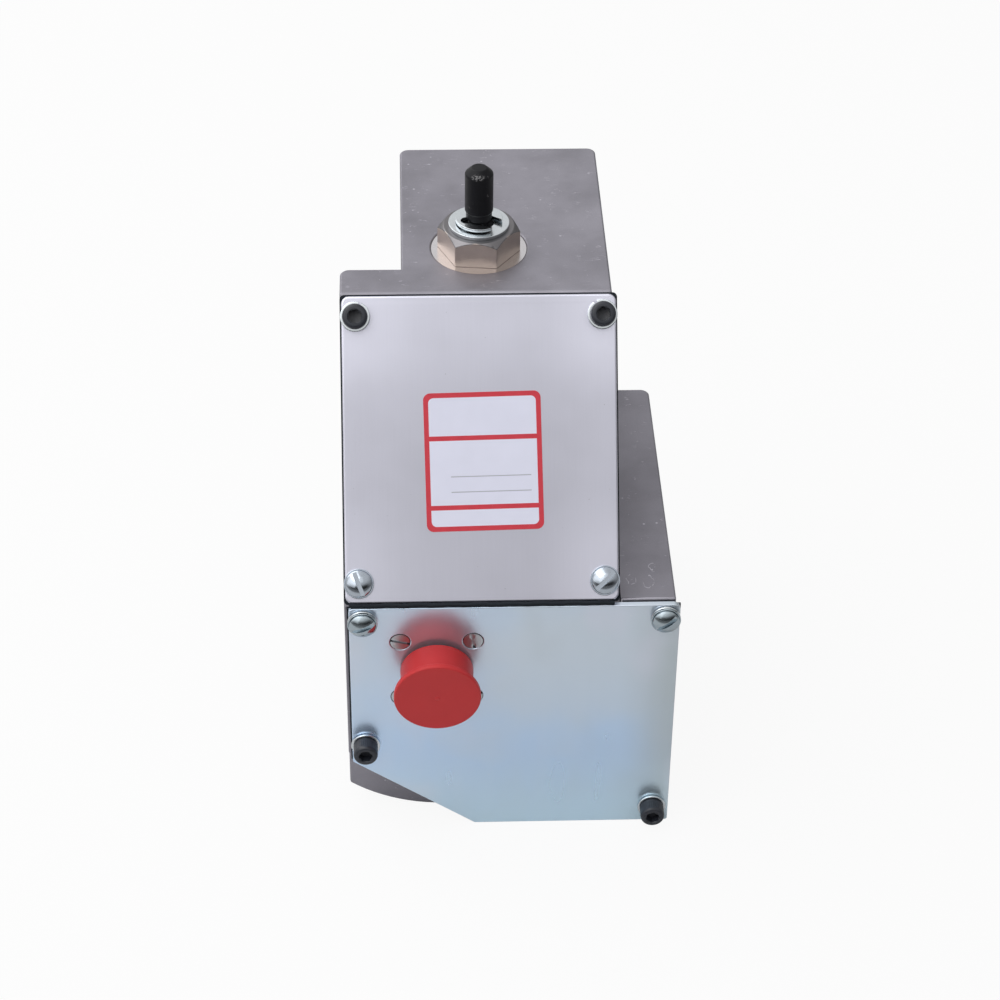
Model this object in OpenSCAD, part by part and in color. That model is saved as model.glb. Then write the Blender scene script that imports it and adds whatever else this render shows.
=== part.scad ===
// Electric governor actuator: a cast housing that bolts to the end of a fuel injection pump.
// Inside, a clapper magnet swings a sprung lever that moves the pump's control rack.
// A stop shaft in the top wall can push the rack to its stop by hand.
// X runs across, Y runs back to the pump, Z runs up. The origin is the pilot bore's centre
// on the mounting face.

/* [Housing] */
// Width of the lower body
body_w = 104.2; // [100:0.1:112]
// Height of the lower body, from its base to its shoulders
body_h = 93.8; // [90:0.1:98]
// Depth from the front rim to the mounting face
body_d = 144; // [141:0.5:152]
// Gap from the mounting face to the back of the shoulders
shoulder_back = 31; // [24:0.5:40]
// Height of the body's low rear end
rear_h = 70; // [68:0.5:76]
// Height of the top face above the base
tower_h = 172; // [169:0.5:180]
// Width of the rear column
column_w = 65.8; // [64:0.1:72]
// Gap from the mounting face to the back of the tower's left bay
bay_back = 73.6; // [71:0.1:78]
// Lean of the sloped front from upright, in degrees
lean = 35.3; // [33:0.1:37]
// Drop from the shoulders to the foot of the slope
foot_drop = 2; // [1.5:0.1:4]
// Thickness of the casting's walls
wall = 6; // [5:0.1:6.5]
// Thickness of the front rim
rim_t = 10; // [9:0.1:12]
// Depth of the step behind the rim's slanted corner
step_d = 6.5; // [5:0.1:8]
// Thickness of the sloped frame under the upper cover
slab_t = 8; // [7:0.1:10]
// Thickness of the rear wall
rear_t = 10; // [8:0.1:12]
// Radius of the upright outer edges
edge_r = 3; // [1:0.1:5]
// Radius of the sweep at the body's lower left corner
sweep_r = 51.5; // [46:0.1:60]
// Reach of that sweep from the left wall
sweep_run = 31; // [26:0.1:34]

/* [Pump mount] */
// Height of the pilot bore's axis above the base
pilot_h = 36; // [35:0.1:37]
// Diameter of the pilot bore
pilot_d = 58; // [50:0.5:60]
// Spacing of the mounting holes across
bolt_dx = 76; // [74:0.5:78]
// Spacing of the mounting holes upward
bolt_dz = 40; // [38:0.5:42]
// Diameter of the mounting holes
bolt_d = 8.6; // [6.6:0.1:9]
// Drop from the top face to the control rack's line
rack_drop = 22; // [21:0.1:24]
// Width of the rack window in the rear wall
window_w = 48; // [44:0.5:50]
// Height of the rack window in the rear wall
window_h = 28; // [24:0.5:30]

/* [Covers] */
// Thickness of both cover sheets
cover_t = 2; // [1.5:0.1:3]
// Thickness of both cover gaskets
gasket_t = 0.8; // [0.5:0.1:1.2]
// How far the gaskets show past the covers
gasket_show = 0.5; // [0.2:0.1:0.8]
// Width of the land that the covers seal on
land = 9; // [8:0.1:10]
// Strip of casting left bare beside the lower cover
lower_reveal = 1.4; // [0.5:0.1:2]
// How far the lower cover hangs past the casting on the right
lower_over = 0.9; // [0:0.1:1.5]
// Width of the lower cover's slanted corner
slant_w = 39.8; // [34:0.1:44]
// Height of the lower cover's slanted corner
slant_h = 28.5; // [24:0.1:34]
// Strip of casting left bare beside the upper cover
upper_reveal = 0.5; // [0.3:0.1:2]
// How far the upper cover hangs past the casting on the right
upper_over = 1; // [0:0.1:1.5]
// Gap from the slope's foot to the upper cover
upper_foot = 1.5; // [1.2:0.1:3]
// Gap from the upper cover to the top face
upper_head = 1.1; // [0.8:0.1:3]
// Corner radius of both covers
cover_r = 1.5; // [0.5:0.1:3]
// Width of the label
label_w = 36.6; // [20:0.5:50]
// Height of the label
label_h = 43.2; // [20:0.5:60]
// Position of the label across
label_x = -7.9; // [-12:0.1:-4]

/* [Cover screws] */
// Shank diameter of the cover screws
screw_d = 4.8; // [4:0.1:5]
// Length of thread in the casting
thread_len = 7; // [5:0.1:7]
// Gap from a cover's side edge to its screws
screw_in = 4.3; // [4:0.1:5]
// Gap from the upper cover's ends to its screws
upper_end = 6.3; // [5:0.1:8]
// Gap from the lower cover's top edge to its screws
lower_end = 5; // [4.5:0.1:7]
// Gap from the lower cover's right edge to its low right screw
low_right_in = 5.2; // [4.5:0.1:6]
// Height of the lower cover's low right screw
low_right_h = 6.8; // [6:0.1:14]
// Rise of the lower cover's low left screw above the slant
low_left_rise = 7.9; // [7:0.1:14]
// Head diameter of the socket screws
cap_head_d = 7.9; // [7:0.1:8.5]
// Head height of the socket screws
cap_head_h = 5; // [4:0.1:6]
// Width across flats of the hexagon sockets
socket_af = 4; // [3:0.1:4.5]
// Head diameter of the pan screws
pan_head_d = 9.4; // [8.5:0.1:10]
// Head height of the pan screws
pan_head_h = 3.1; // [2.6:0.1:4]
// Outside diameter of the lock washers
lock_d = 8.8; // [8:0.1:9.4]
// Thickness of the lock washers
lock_t = 1.2; // [0.8:0.1:2]

/* [Connector] */
// Gap from the lower cover's left edge to the connector's axis
conn_in = 27.5; // [25.5:0.1:31]
// Drop from the shoulders to the connector's axis
conn_drop = 25.5; // [24.8:0.1:29.8]
// Diameter of the connector's barrel
barrel_d = 19; // [17:0.1:20]
// Reach of the barrel in front of the cover
barrel_out = 9.5; // [7:0.1:11]
// Width of the connector's square flange
flange_w = 29; // [28:0.1:30]
// Thickness of the connector's flange
flange_t = 2.4; // [2:0.1:3]
// Spacing of the flange screws
flange_pitch = 23; // [22.5:0.1:23.2]
// Shank diameter of the flange screws
flange_screw_d = 3; // [2.5:0.1:3.2]
// Head diameter of the flange screws
flange_head_d = 6.4; // [5.6:0.1:6.5]
// Reach of the dust cap in front of the cover
cap_out = 13; // [12.6:0.1:16]
// Outside diameter of the dust cap's skirt
cap_d = 23.3; // [22:0.1:24]
// Diameter of the dust cap's end disc
cap_disc_d = 27.5; // [25:0.1:28]
// Thickness of the dust cap's end disc
cap_disc_t = 1.8; // [1:0.1:2.2]

/* [Stop shaft] */
// Position of the stop shaft across
stop_x = -8; // [-9:0.1:-7.5]
// Gap from the mounting face to the stop shaft
stop_back = 61.4; // [59:0.1:63]
// Diameter of the stop shaft
stop_d = 9; // [8:0.1:9.5]
// Height of the stop shaft's tip above the top face
stop_out = 29.4; // [24:0.1:36]
// Width across flats of the gland nut
gland_af = 23; // [20:0.1:26]
// Height of the gland nut's hexagon
gland_h = 8.8; // [6:0.1:10]
// Length of the gland's threaded neck
neck_len = 12.6; // [12:0.1:13]
// Diameter of the gland's threaded neck
neck_d = 18; // [16:0.1:19]
// Diameter of the machined spot face
spot_d = 30.5; // [30.2:0.1:34]
// Depth of the machined spot face
spot_t = 0.4; // [0.2:0.1:0.8]
// Outside diameter of the flat washer
washer_d = 19.4; // [16:0.1:20]
// Thickness of the flat washer
washer_t = 1.2; // [0.8:0.1:1.6]
// Thickness of the retaining clips
clip_t = 1; // [0.6:0.1:1.2]
// Reach of the stop arm's finger from the shaft's axis
finger_reach = 16; // [14:0.1:16.4]

/* [Magnet and lever] */
// Gap from the mounting face to the middle of the core
core_back = 100; // [98:0.5:102]
// Depth of the core's stack of sheets
core_t = 24; // [20:0.5:26]
// Width of each core leg
leg_w = 14; // [12:0.5:15]
// Spacing of the core legs
leg_dx = 34; // [32:0.5:36]
// Height of the core's seat above the base
core_seat = 16; // [14:0.5:18]
// Height of the core's base bar
core_base = 14; // [10:0.5:16]
// Drop from the shoulders to the poles
pole_drop = 2.8; // [2:0.1:6]
// Reach of the bobbin flanges past the legs
flange_reach = 7.3; // [5:0.1:7.5]
// Gap from the mounting face to the rocker shaft
rocker_back = 58; // [56:0.5:60]
// Rise from the shoulders to the rocker shaft
rocker_rise = 13.2; // [12.2:0.1:15]
// Diameter of the rocker shaft
rocker_d = 8; // [7:0.1:9]
// Outside diameter of the bearings
bearing_d = 22; // [20:0.5:24]
// Width of the bearings
bearing_w = 7; // [5:0.1:7]
// Swing of the rocker from fuel off to full fuel, in degrees
swing = 20; // [14:0.5:22]
// Thickness of the armature
armature_t = 7; // [5:0.1:8]
// Thickness of the lever
lever_t = 5; // [4:0.1:5.2]
// Thickness of the rack link
link_t = 4; // [3:0.1:4.2]
// Spacing of the rack link's eyes
link_len = 34; // [30:0.5:36]
// Diameter of the hole for the pump's rack pin
rack_eye_d = 6; // [5:0.1:6.5]

/* [Hidden] */
$fn = 64;

// Fits and clearances
running_gap = 0.05;
seat_gap = 0.02;
hole_gap = 0.35;
face_gap = 0.3;
part_gap = 1;
over = 1;
root = 0.5;

// Housing places
half_w = body_w / 2;
col_x = column_w / 2;
front_y = -body_d;
slope_foot = body_h - foot_drop;
slope_len = (tower_h - slope_foot) / cos(lean);
slope_top_y = front_y + (tower_h - slope_foot) * tan(lean);
slab_run = slab_t / cos(lean);
tower_low = rear_h - 2 * wall;
inner_x = half_w - wall;
col_in = col_x - wall;
bay_y = -bay_back;
rack_h = tower_h - rack_drop;

// Lower cover outline
cover_l = -half_w + lower_reveal;
cover_r_x = half_w + lower_over;
top_drop = 0.3;
cover_top = body_h - top_drop;
slant_len = norm([slant_w, slant_h]);
lower_out = gasket_t + cover_t;

// Upper cover outline
upper_l = -half_w + upper_reveal;
upper_w = half_w + col_x - upper_reveal + upper_over;
upper_len = slope_len - upper_foot - upper_head;
upper_end_x = col_x + upper_over + gasket_show + face_gap;

// Cover screw places
upper_sides = [upper_l + screw_in, upper_l + upper_w - screw_in];
upper_low = upper_foot + upper_end;
upper_high = upper_foot + upper_len - upper_end;
lower_left = cover_l + screw_in;
lower_right = cover_r_x - screw_in;
lower_pans = [[lower_left, cover_top - lower_end], [lower_right, cover_top - lower_end]];
lower_caps = [[lower_left, slant_h + low_left_rise], [cover_r_x - low_right_in, low_right_h]];
screw_hole_d = screw_d + 2 * hole_gap;
tapped_d = screw_d + 2 * seat_gap;
head_edge = 0.4;
dome_share = 0.62;
slot_w = 1.2;
slot_deep = 1.4;
split_w = 0.8;
split_turn = 60;
upper_slots = [-70, 45];
lower_slots = [20, 35];
label_tilt = 1;
label_t = 0.2;
label_r = 2;
label_rise = 0.46;
label_v = upper_foot + label_rise * upper_len;

// Connector places
conn_x = cover_l + conn_in;
conn_h = body_h - conn_drop;
conn_gasket_t = 0.6;
flange_face = gasket_t - conn_gasket_t;
contact_ring = 4;
contact_d = 1.6;
contact_back = 14;
barrel_wall = 1.4;
insert_front = 4;
shell_back = 10;
insert_back = 9;
contact_in = 2;
flange_r = 2;
flange_slot_w = 0.8;
flange_slot_deep = 0.7;
flange_slot_turn = 30;
flange_head_t = (flange_head_d - flange_screw_d) / 2;
flange_holes = [for (sx = [-1, 1], sz = [-1, 1]) [sx, sz] * flange_pitch / 2];

// Stop shaft places
stop_y = -stop_back;
spot_z = tower_h - spot_t;
gland_top = spot_z + gland_h;
gland_low = spot_z - neck_len;
clip_play = 0.1;
clip_z = gland_top + washer_t + clip_play;
gland_turn = -6;
chamfer_share = 0.98;
clip_rim = 0.16;
clip_prong = 0.2;
clip_mouth = 0.72;
clip_size = 1.66;
clip_turn = -45;
tip_len = 2.8;
tip_share = 0.56;
groove_d = stop_d - 2;
hub_h = 10;
hub_d = 14;
hub_play = 0.4;
hub_z = gland_low - hub_play - hub_h;
arm_t = 4;
arm_w = 6;
arm_rise = 1;
arm_z = hub_z + arm_rise;
finger_past = 0.8;
finger_d = 5;
finger_drop = 9;
finger_low = rack_h - finger_drop;
arm_rest = -50;
stop_pin_d = 3;
stop_pin_drop = 2.5;
stop_pin_z = hub_z + hub_h - stop_pin_drop;
seal_d = 1.8;
seal_ring = stop_d / 2 + running_gap + seal_d / 2;
seal_drop = 4;
seal_z = spot_z - seal_drop;
seal_room = 1.2 * seal_d;
boss_d = 28;
boss_lip = 0.2;

// Magnet places
core_y = -core_back;
pole_h = body_h - pole_drop;
leg_xs = [-leg_dx / 2, leg_dx / 2];
ear_w = 10;
core_half = (leg_dx + leg_w) / 2 + ear_w;
ear_xs = [-core_half + ear_w / 2, core_half - ear_w / 2];
core_base_top = core_seat + core_base;
core_head_h = 5;
core_screw_d = 5;
bobbin_low = core_base_top + core_head_h + part_gap;
pole_bare = 8;
bobbin_high = pole_h - pole_bare;
bobbin_t = 1.5;
bobbin_flange = 2;
winding_in = 0.8;
tube_r = 0.5;
bobbin_r = 1;
winding_r = 3;
core_head_d = 1.6 * core_screw_d;

// Rocker places
rocker_y = -rocker_back;
rocker_h = body_h + rocker_rise;
bearing_in = col_x - part_gap - bearing_w;
bearing_lip = 1;
bearing_boss_d = bearing_d + 8;
bearing_step_d = bearing_d - 5;
shaft_reach = bearing_in + bearing_w - face_gap;
lever_len = rack_h - rocker_h;
lever_x = 12.5;
lever_right = lever_x + lever_t;
lever_hub_d = 18;
lever_hub_out = 4;
lever_pin_x = lever_right + lever_hub_out / 2;
link_x = lever_right + face_gap;
link_right = link_x + link_t;
eye_d = 12;
link_pin_d = 5;
link_groove_d = link_pin_d - 1.2;
link_w = 8;
link_play = 0.2;
link_clip_x = link_right + link_play;
link_pin_end = link_clip_x + clip_t + part_gap;
arm_hub_d = 20;
arm_hub_left = -20;
arm_hub_right = 10;
arm_pin_x = arm_hub_left + 5;
armature_side = 0.5;
pin_short = 0.6;
armature_half = leg_dx / 2 + leg_w / 2 + armature_side;
armature_low = pole_h + part_gap - rocker_h;
armature_front = core_y - core_t / 2 - part_gap - rocker_y;
plate_back = -bearing_boss_d / 2 - part_gap;
cross_pin_d = 3;
link_pivot = [
    rocker_y + lever_len * sin(swing / 2),
    rocker_h + lever_len * cos(swing / 2)
];

// Return spring places
spring_share = 0.56;
spring_arm = spring_share * lever_len;
post_d = 4;
anchor_d = 5;
spring_x = (lever_right + col_in) / 2;
anchor_y = -20;
anchor_share = 0.465;
anchor_h = rocker_h + anchor_share * lever_len;
anchor_end = col_in + wall - 2;
wire_d = 1.1;
coil_r = 3.1;
coil_turns = 15;
turn_steps = 12;
hook_run = 5;
hook_gap = 0.1;
hook_step = 22.5;
post_past = wire_d + 0.4;
post_at = [
    spring_x,
    rocker_y + spring_arm * sin(swing / 2),
    rocker_h + spring_arm * cos(swing / 2)
];
anchor_at = [spring_x, anchor_y, anchor_h];

// Lead wires: each route runs from a contact's back end to a winding's front face
lead_d = 1.8;
lead_start_y = front_y + contact_back;
lead_end_y = core_y - core_t / 2 - flange_reach + winding_in - face_gap;
lead_lead = 3;
contact_off = contact_ring / sqrt(2);
lead_drops = [5, 9];
lead_starts = [
    [conn_x - contact_off, lead_start_y, conn_h + contact_off],
    [conn_x + contact_off, lead_start_y, conn_h - contact_off]
];
lead_ends = [for (i = [0, 1]) [leg_xs[i], lead_end_y, conn_h - lead_drops[i]]];

// Moves a piece drawn above the base into the pilot bore's frame
module in_frame() {
    translate([0, 0, -pilot_h]) children();
}

// Frame of the lower cover: x across, y up, z out of the front
module on_front() {
    in_frame() translate([0, front_y, 0]) rotate([90, 0, 0]) children();
}

// Frame of the upper cover: x across, y up the slope, z out of the slope
module on_slope() {
    in_frame() translate([0, front_y, slope_foot]) rotate([90 - lean, 0, 0]) children();
}

// Frame of the connector's axis
module on_connector() {
    on_front() translate([conn_x, conn_h, 0]) children();
}

// Frame of the stop shaft's axis, with the base at zero
module on_stop() {
    in_frame() translate([stop_x, stop_y, 0]) children();
}

// Frame of the rocker's axis, turned from its full-fuel or middle place to rest
module on_rocker(turn) {
    in_frame() translate([0, rocker_y, rocker_h]) rotate([-turn, 0, 0]) children();
}

// Cylinder along X
module x_rod(x0, x1, d) {
    translate([x0, 0, 0]) rotate([0, 90, 0]) cylinder(d = d, h = x1 - x0);
}

// Rectangle with round corners, from its lower left corner
module round_rect(w, h, r) {
    translate([r, 0]) square([w - 2 * r, h]);
    translate([0, r]) square([w, h - 2 * r]);
    for (x = [r, w - r], y = [r, h - r]) translate([x, y]) circle(r);
}

// Upright block with round vertical edges
module plan_block(x0, x1, y0, y1, z0, z1, r) {
    translate([x0, y0, z0]) linear_extrude(z1 - z0) round_rect(x1 - x0, y1 - y0, r);
}

// Points of the lower cover's outline, drawn in by an inset
function slant_left(inset) = slant_h + inset * (slant_len - slant_h) / slant_w;
function slant_low(inset) = cover_l + slant_w + inset * (slant_len - slant_w) / slant_h;
function lower_points(inset) = [
    [cover_l + inset, slant_left(inset)],
    [slant_low(inset), inset],
    [cover_r_x - inset, inset],
    [cover_r_x - inset, cover_top - inset],
    [cover_l + inset, cover_top - inset]
];

// Upper cover's outline, drawn in by an inset
module upper_outline(inset, r) {
    translate([upper_l + inset, upper_foot + inset])
        round_rect(upper_w - 2 * inset, upper_len - 2 * inset, r);
}

// Wedge under the slanted corner, for cutting the front rim
module slant_wedge() {
    reach = slant_w + slant_h;
    polygon([
        [cover_l - reach, slant_h + reach * slant_h / slant_w],
        [cover_l + slant_w + reach, -reach * slant_h / slant_w],
        [cover_l - reach, -reach]
    ]);
}

// Cross section of the lower body, drawn in by an inset, with the swept corner
module body_section(inset, top) {
    sweep_x = -half_w + sweep_run;
    difference() {
        translate([-half_w + inset, inset]) square([body_w - 2 * inset, top - 2 * inset]);
        difference() {
            translate([-half_w, 0]) square([sweep_run, sweep_r]);
            translate([sweep_x, sweep_r]) circle(sweep_r - inset);
        }
    }
}

// Lower body section drawn from one depth to another
module body_block(inset, top, y0, y1) {
    translate([0, y1, 0]) rotate([90, 0, 0]) linear_extrude(y1 - y0) body_section(inset, top);
}

// Side profile of the tower, drawn in from the slope, extruded across
module tower_profile(inset, low, high) {
    reach = body_w;
    foot_y = front_y + inset;
    head_y = slope_top_y + inset - (tower_h - high) * tan(lean);
    rotate([90, 0, 90]) translate([0, 0, -reach])
        linear_extrude(2 * reach)
            polygon([[foot_y, low], [foot_y, slope_foot], [head_y, high], [over, high], [over, low]]);
}

// Upright rods at a list of points
module rods_at(points, d, low, high) {
    for (p = points) translate([p[0], p[1], low]) cylinder(d = d, h = high - low);
}

function upper_points() = [for (x = upper_sides, v = [upper_low, upper_high]) [x, v]];

module housing_outside() {
    intersection() {
        body_block(0, body_h, front_y + step_d, -shoulder_back);
        plan_block(-half_w, half_w, front_y - edge_r, -shoulder_back, 0, body_h, edge_r);
    }
    intersection() {
        body_block(0, rear_h, -shoulder_back - 2 * edge_r, 0);
        plan_block(-half_w, half_w, -shoulder_back - 3 * edge_r, 0, 0, rear_h, edge_r);
    }
    difference() {
        translate([-half_w, front_y, 0]) cube([body_w, rim_t, body_h]);
        translate([0, front_y + rim_t + over, 0]) rotate([90, 0, 0])
            linear_extrude(rim_t + 2 * over) slant_wedge();
        translate([-half_w - over, front_y - over, slope_foot])
            cube([half_w + upper_end_x + over, rim_t + 2 * over, body_h]);
    }
    intersection() {
        tower_profile(0, tower_low, tower_h);
        union() {
            plan_block(-half_w, col_x, front_y - edge_r, bay_y, 0, tower_h, edge_r);
            plan_block(-col_x, col_x, front_y - edge_r, 0, 0, tower_h, edge_r);
        }
    }
}

module housing_hollow() {
    rear_in = -shoulder_back - wall;
    top_in = tower_h - wall;
    body_block(wall, body_h, front_y + rim_t, rear_in);
    body_block(wall, rear_h, rear_in - over, -rear_t);
    intersection() {
        tower_profile(slab_run, body_h - 2 * wall, top_in);
        union() {
            translate([-inner_x, front_y + rim_t, 0])
                cube([inner_x + col_in, -front_y - rim_t + bay_y - wall, top_in]);
            translate([-col_in, front_y + rim_t, 0])
                cube([2 * col_in, -front_y - rim_t - rear_t, top_in]);
        }
    }
}

module housing_bosses() {
    for (x = ear_xs) translate([x - ear_w / 2 - part_gap, core_y - core_t / 2, wall - root])
        cube([ear_w + 2 * part_gap, core_t, core_seat - wall + root]);
    for (side = [-1, 1]) translate([side * (col_in + over), rocker_y, rocker_h])
        rotate([0, -90 * side, 0])
            cylinder(d = bearing_boss_d, h = over + col_in - bearing_in + bearing_lip);
    translate([stop_x, stop_y, gland_low - boss_lip])
        cylinder(d = boss_d, h = tower_h - wall / 2 - gland_low);
}

module housing_cuts() {
    translate([0, front_y, 0]) rotate([90, 0, 0]) {
        translate([0, 0, -rim_t - over]) linear_extrude(rim_t + 2 * over) polygon(lower_points(land));
        rods_at(concat(lower_pans, lower_caps), tapped_d, -thread_len - part_gap, over);
    }
    translate([0, front_y, slope_foot]) rotate([90 - lean, 0, 0]) {
        translate([0, 0, -slab_t - 2 * over])
            linear_extrude(slab_t + 3 * over) upper_outline(land, cover_r);
        rods_at(upper_points(), tapped_d, -thread_len - part_gap / 2, over);
    }
    translate([0, -rear_t - over, pilot_h]) rotate([-90, 0, 0])
        cylinder(d = pilot_d, h = rear_t + 2 * over);
    for (sx = [-1, 1], sz = [-1, 1])
        translate([sx * bolt_dx / 2, -rear_t - over, pilot_h + sz * bolt_dz / 2])
            rotate([-90, 0, 0]) cylinder(d = bolt_d, h = rear_t + 2 * over);
    translate([-window_w / 2, -rear_t - over, rack_h - window_h / 2])
        cube([window_w, rear_t + 2 * over, window_h]);
    translate([stop_x, stop_y, 0]) {
        translate([0, 0, gland_low - over])
            cylinder(d = neck_d + 2 * seat_gap, h = neck_len + 2 * over);
        translate([0, 0, spot_z]) cylinder(d = spot_d, h = spot_t + over);
    }
    translate([0, rocker_y, rocker_h]) {
        for (side = [0, 180]) rotate([0, 0, side]) {
            x_rod(bearing_in, col_x + over, bearing_d + 2 * seat_gap);
            x_rod(bearing_in - 2 * bearing_lip, col_x, bearing_step_d);
        }
    }
    for (x = ear_xs) translate([x, core_y, wall + part_gap])
        cylinder(d = core_screw_d + 2 * seat_gap, h = core_seat);
    translate([0, anchor_y, anchor_h])
        x_rod(col_in - over, anchor_end, anchor_d + 2 * seat_gap);
}

// Cast housing
module housing() {
    color([0.56, 0.56, 0.57]) in_frame() difference() {
        union() {
            difference() {
                housing_outside();
                housing_hollow();
            }
            housing_bosses();
        }
        housing_cuts();
    }
}

// Gasket under the upper cover
module upper_gasket() {
    color([0.13, 0.14, 0.16]) on_slope() difference() {
        linear_extrude(gasket_t) difference() {
            upper_outline(-gasket_show, cover_r);
            upper_outline(land, cover_r);
        }
        rods_at(upper_points(), screw_hole_d, -over, gasket_t + over);
    }
}

// Sloped cover
module upper_cover() {
    color([0.74, 0.74, 0.75]) on_slope() difference() {
        translate([0, 0, gasket_t]) linear_extrude(cover_t) upper_outline(0, cover_r);
        rods_at(upper_points(), screw_hole_d, 0, lower_out + over);
    }
}

// Gasket under the lower cover
module lower_gasket() {
    color([0.13, 0.14, 0.16]) on_front() difference() {
        linear_extrude(gasket_t) difference() {
            intersection() {
                polygon(lower_points(-gasket_show));
                translate([-body_w, 0]) square([2 * body_w, slope_foot + gasket_t / 2]);
            }
            polygon(lower_points(land));
        }
        rods_at(concat(lower_pans, lower_caps), screw_hole_d, -over, gasket_t + over);
    }
}

// Front cover with the slanted corner
module lower_cover() {
    color([0.68, 0.73, 0.78]) on_front() difference() {
        translate([0, 0, gasket_t]) linear_extrude(cover_t) polygon(lower_points(0));
        rods_at(concat(lower_pans, lower_caps), screw_hole_d, 0, lower_out + over);
        translate([conn_x, conn_h, 0]) {
            cylinder(d = barrel_d + 2 * hole_gap, h = lower_out + over);
            for (p = flange_holes) translate([p[0], p[1], 0]) flat_head_hole();
        }
    }
}

// Countersunk hole for a flange screw
module flat_head_hole() {
    shank = flange_screw_d + 2 * seat_gap;
    cylinder(d = shank, h = lower_out + over);
    translate([0, 0, lower_out - flange_head_t])
        cylinder(d1 = shank, d2 = flange_head_d + 2 * seat_gap, h = flange_head_t);
}

// Socket-head screw with its seat at zero and its shank downward
module cap_screw(shank) {
    difference() {
        union() {
            cylinder(d = cap_head_d, h = cap_head_h - head_edge);
            translate([0, 0, cap_head_h - head_edge])
                cylinder(d1 = cap_head_d, d2 = cap_head_d - 2 * head_edge, h = head_edge);
            translate([0, 0, -shank]) cylinder(d = screw_d, h = shank + root);
        }
        translate([0, 0, cap_head_h / 2])
            cylinder(r = socket_af / sqrt(3), h = cap_head_h, $fn = 6);
    }
}

// Slotted pan-head screw with its seat at zero and its shank downward
module pan_screw(shank, slot_turn) {
    dome_r = pan_head_d * dome_share;
    difference() {
        union() {
            intersection() {
                cylinder(d = pan_head_d, h = pan_head_h);
                translate([0, 0, pan_head_h - dome_r]) sphere(dome_r);
            }
            translate([0, 0, -shank]) cylinder(d = screw_d, h = shank + root);
        }
        rotate([0, 0, slot_turn]) translate([-pan_head_d, -slot_w / 2, pan_head_h - slot_deep])
            cube([2 * pan_head_d, slot_w, slot_deep + over]);
    }
}

// Split spring washer
module lock_washer() {
    difference() {
        cylinder(d = lock_d, h = lock_t);
        translate([0, 0, -over]) cylinder(d = screw_hole_d, h = lock_t + 2 * over);
        rotate([0, 0, split_turn]) translate([0, -split_w / 2, -over])
            cube([lock_d, split_w, lock_t + 2 * over]);
    }
}

// Socket screws at the upper cover's top
module upper_cap_screws() {
    color([0.16, 0.16, 0.18]) on_slope() for (x = upper_sides)
        translate([x, upper_high, lower_out + lock_t]) cap_screw(lower_out + lock_t + thread_len);
}

// Lock washers under those screws
module upper_cap_washers() {
    color([0.75, 0.76, 0.78]) on_slope() for (x = upper_sides)
        translate([x, upper_high, lower_out]) lock_washer();
}

// Slotted screws at the upper cover's foot
module upper_pan_screws() {
    color([0.75, 0.76, 0.78]) on_slope() for (i = [0, 1])
        translate([upper_sides[i], upper_low, lower_out])
            pan_screw(lower_out + thread_len, upper_slots[i]);
}

// Slotted screws at the lower cover's top
module lower_pan_screws() {
    color([0.75, 0.76, 0.78]) on_front() for (i = [0, 1])
        translate([lower_pans[i][0], lower_pans[i][1], lower_out + lock_t])
            pan_screw(lower_out + lock_t + thread_len, lower_slots[i]);
}

// Lock washers under those screws
module lower_pan_washers() {
    color([0.75, 0.76, 0.78]) on_front() for (p = lower_pans)
        translate([p[0], p[1], lower_out]) lock_washer();
}

// Socket screws at the lower cover's foot
module lower_cap_screws() {
    color([0.16, 0.16, 0.18]) on_front() for (p = lower_caps)
        translate([p[0], p[1], lower_out + lock_t]) cap_screw(lower_out + lock_t + thread_len);
}

// Lock washers under those screws
module lower_cap_washers() {
    color([0.75, 0.76, 0.78]) on_front() for (p = lower_caps)
        translate([p[0], p[1], lower_out]) lock_washer();
}

// Blank label on the upper cover
module data_label() {
    color([0.93, 0.92, 0.92]) on_slope() translate([label_x, label_v, lower_out])
        rotate([0, 0, label_tilt]) translate([-label_w / 2, -label_h / 2, 0])
            linear_extrude(label_t) round_rect(label_w, label_h, label_r);
}

// Receptacle shell with its square flange behind the lower cover
module connector_shell() {
    back = flange_face - flange_t;
    color([0.30, 0.32, 0.30]) on_connector() difference() {
        union() {
            translate([0, 0, back]) cylinder(d = barrel_d, h = lower_out + barrel_out - back);
            translate([-flange_w / 2, -flange_w / 2, back]) linear_extrude(flange_t)
                round_rect(flange_w, flange_w, flange_r);
            translate([0, 0, -shell_back]) cylinder(d = barrel_d, h = shell_back);
        }
        translate([0, 0, -contact_back])
            cylinder(d = barrel_d - 2 * barrel_wall, h = contact_back + lower_out + barrel_out + over);
        for (p = flange_holes) translate([p[0], p[1], back - over])
            cylinder(d = flange_screw_d + 2 * seat_gap, h = flange_t + 2 * over);
    }
}

// Flat seal between the flange and the cover
module connector_gasket() {
    color([0.10, 0.10, 0.11]) on_connector() translate([0, 0, flange_face]) difference() {
        translate([-flange_w / 2, -flange_w / 2, 0]) linear_extrude(conn_gasket_t)
            round_rect(flange_w, flange_w, flange_r);
        translate([0, 0, -over]) cylinder(d = barrel_d + 2 * hole_gap, h = conn_gasket_t + 2 * over);
        for (p = flange_holes) translate([p[0], p[1], -over])
            cylinder(d = flange_screw_d + 2 * hole_gap, h = conn_gasket_t + 2 * over);
    }
}

function contact_points() = [for (a = [45 : 90 : 315]) contact_ring * [cos(a), sin(a)]];

// Insulator that holds the contacts
module connector_insert() {
    color([0.08, 0.08, 0.09]) on_connector() difference() {
        translate([0, 0, -insert_back])
            cylinder(d = barrel_d - 2 * (barrel_wall + seat_gap), h = insert_back + insert_front);
        rods_at(contact_points(), contact_d + 2 * seat_gap, -contact_back, insert_front + over);
    }
}

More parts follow.
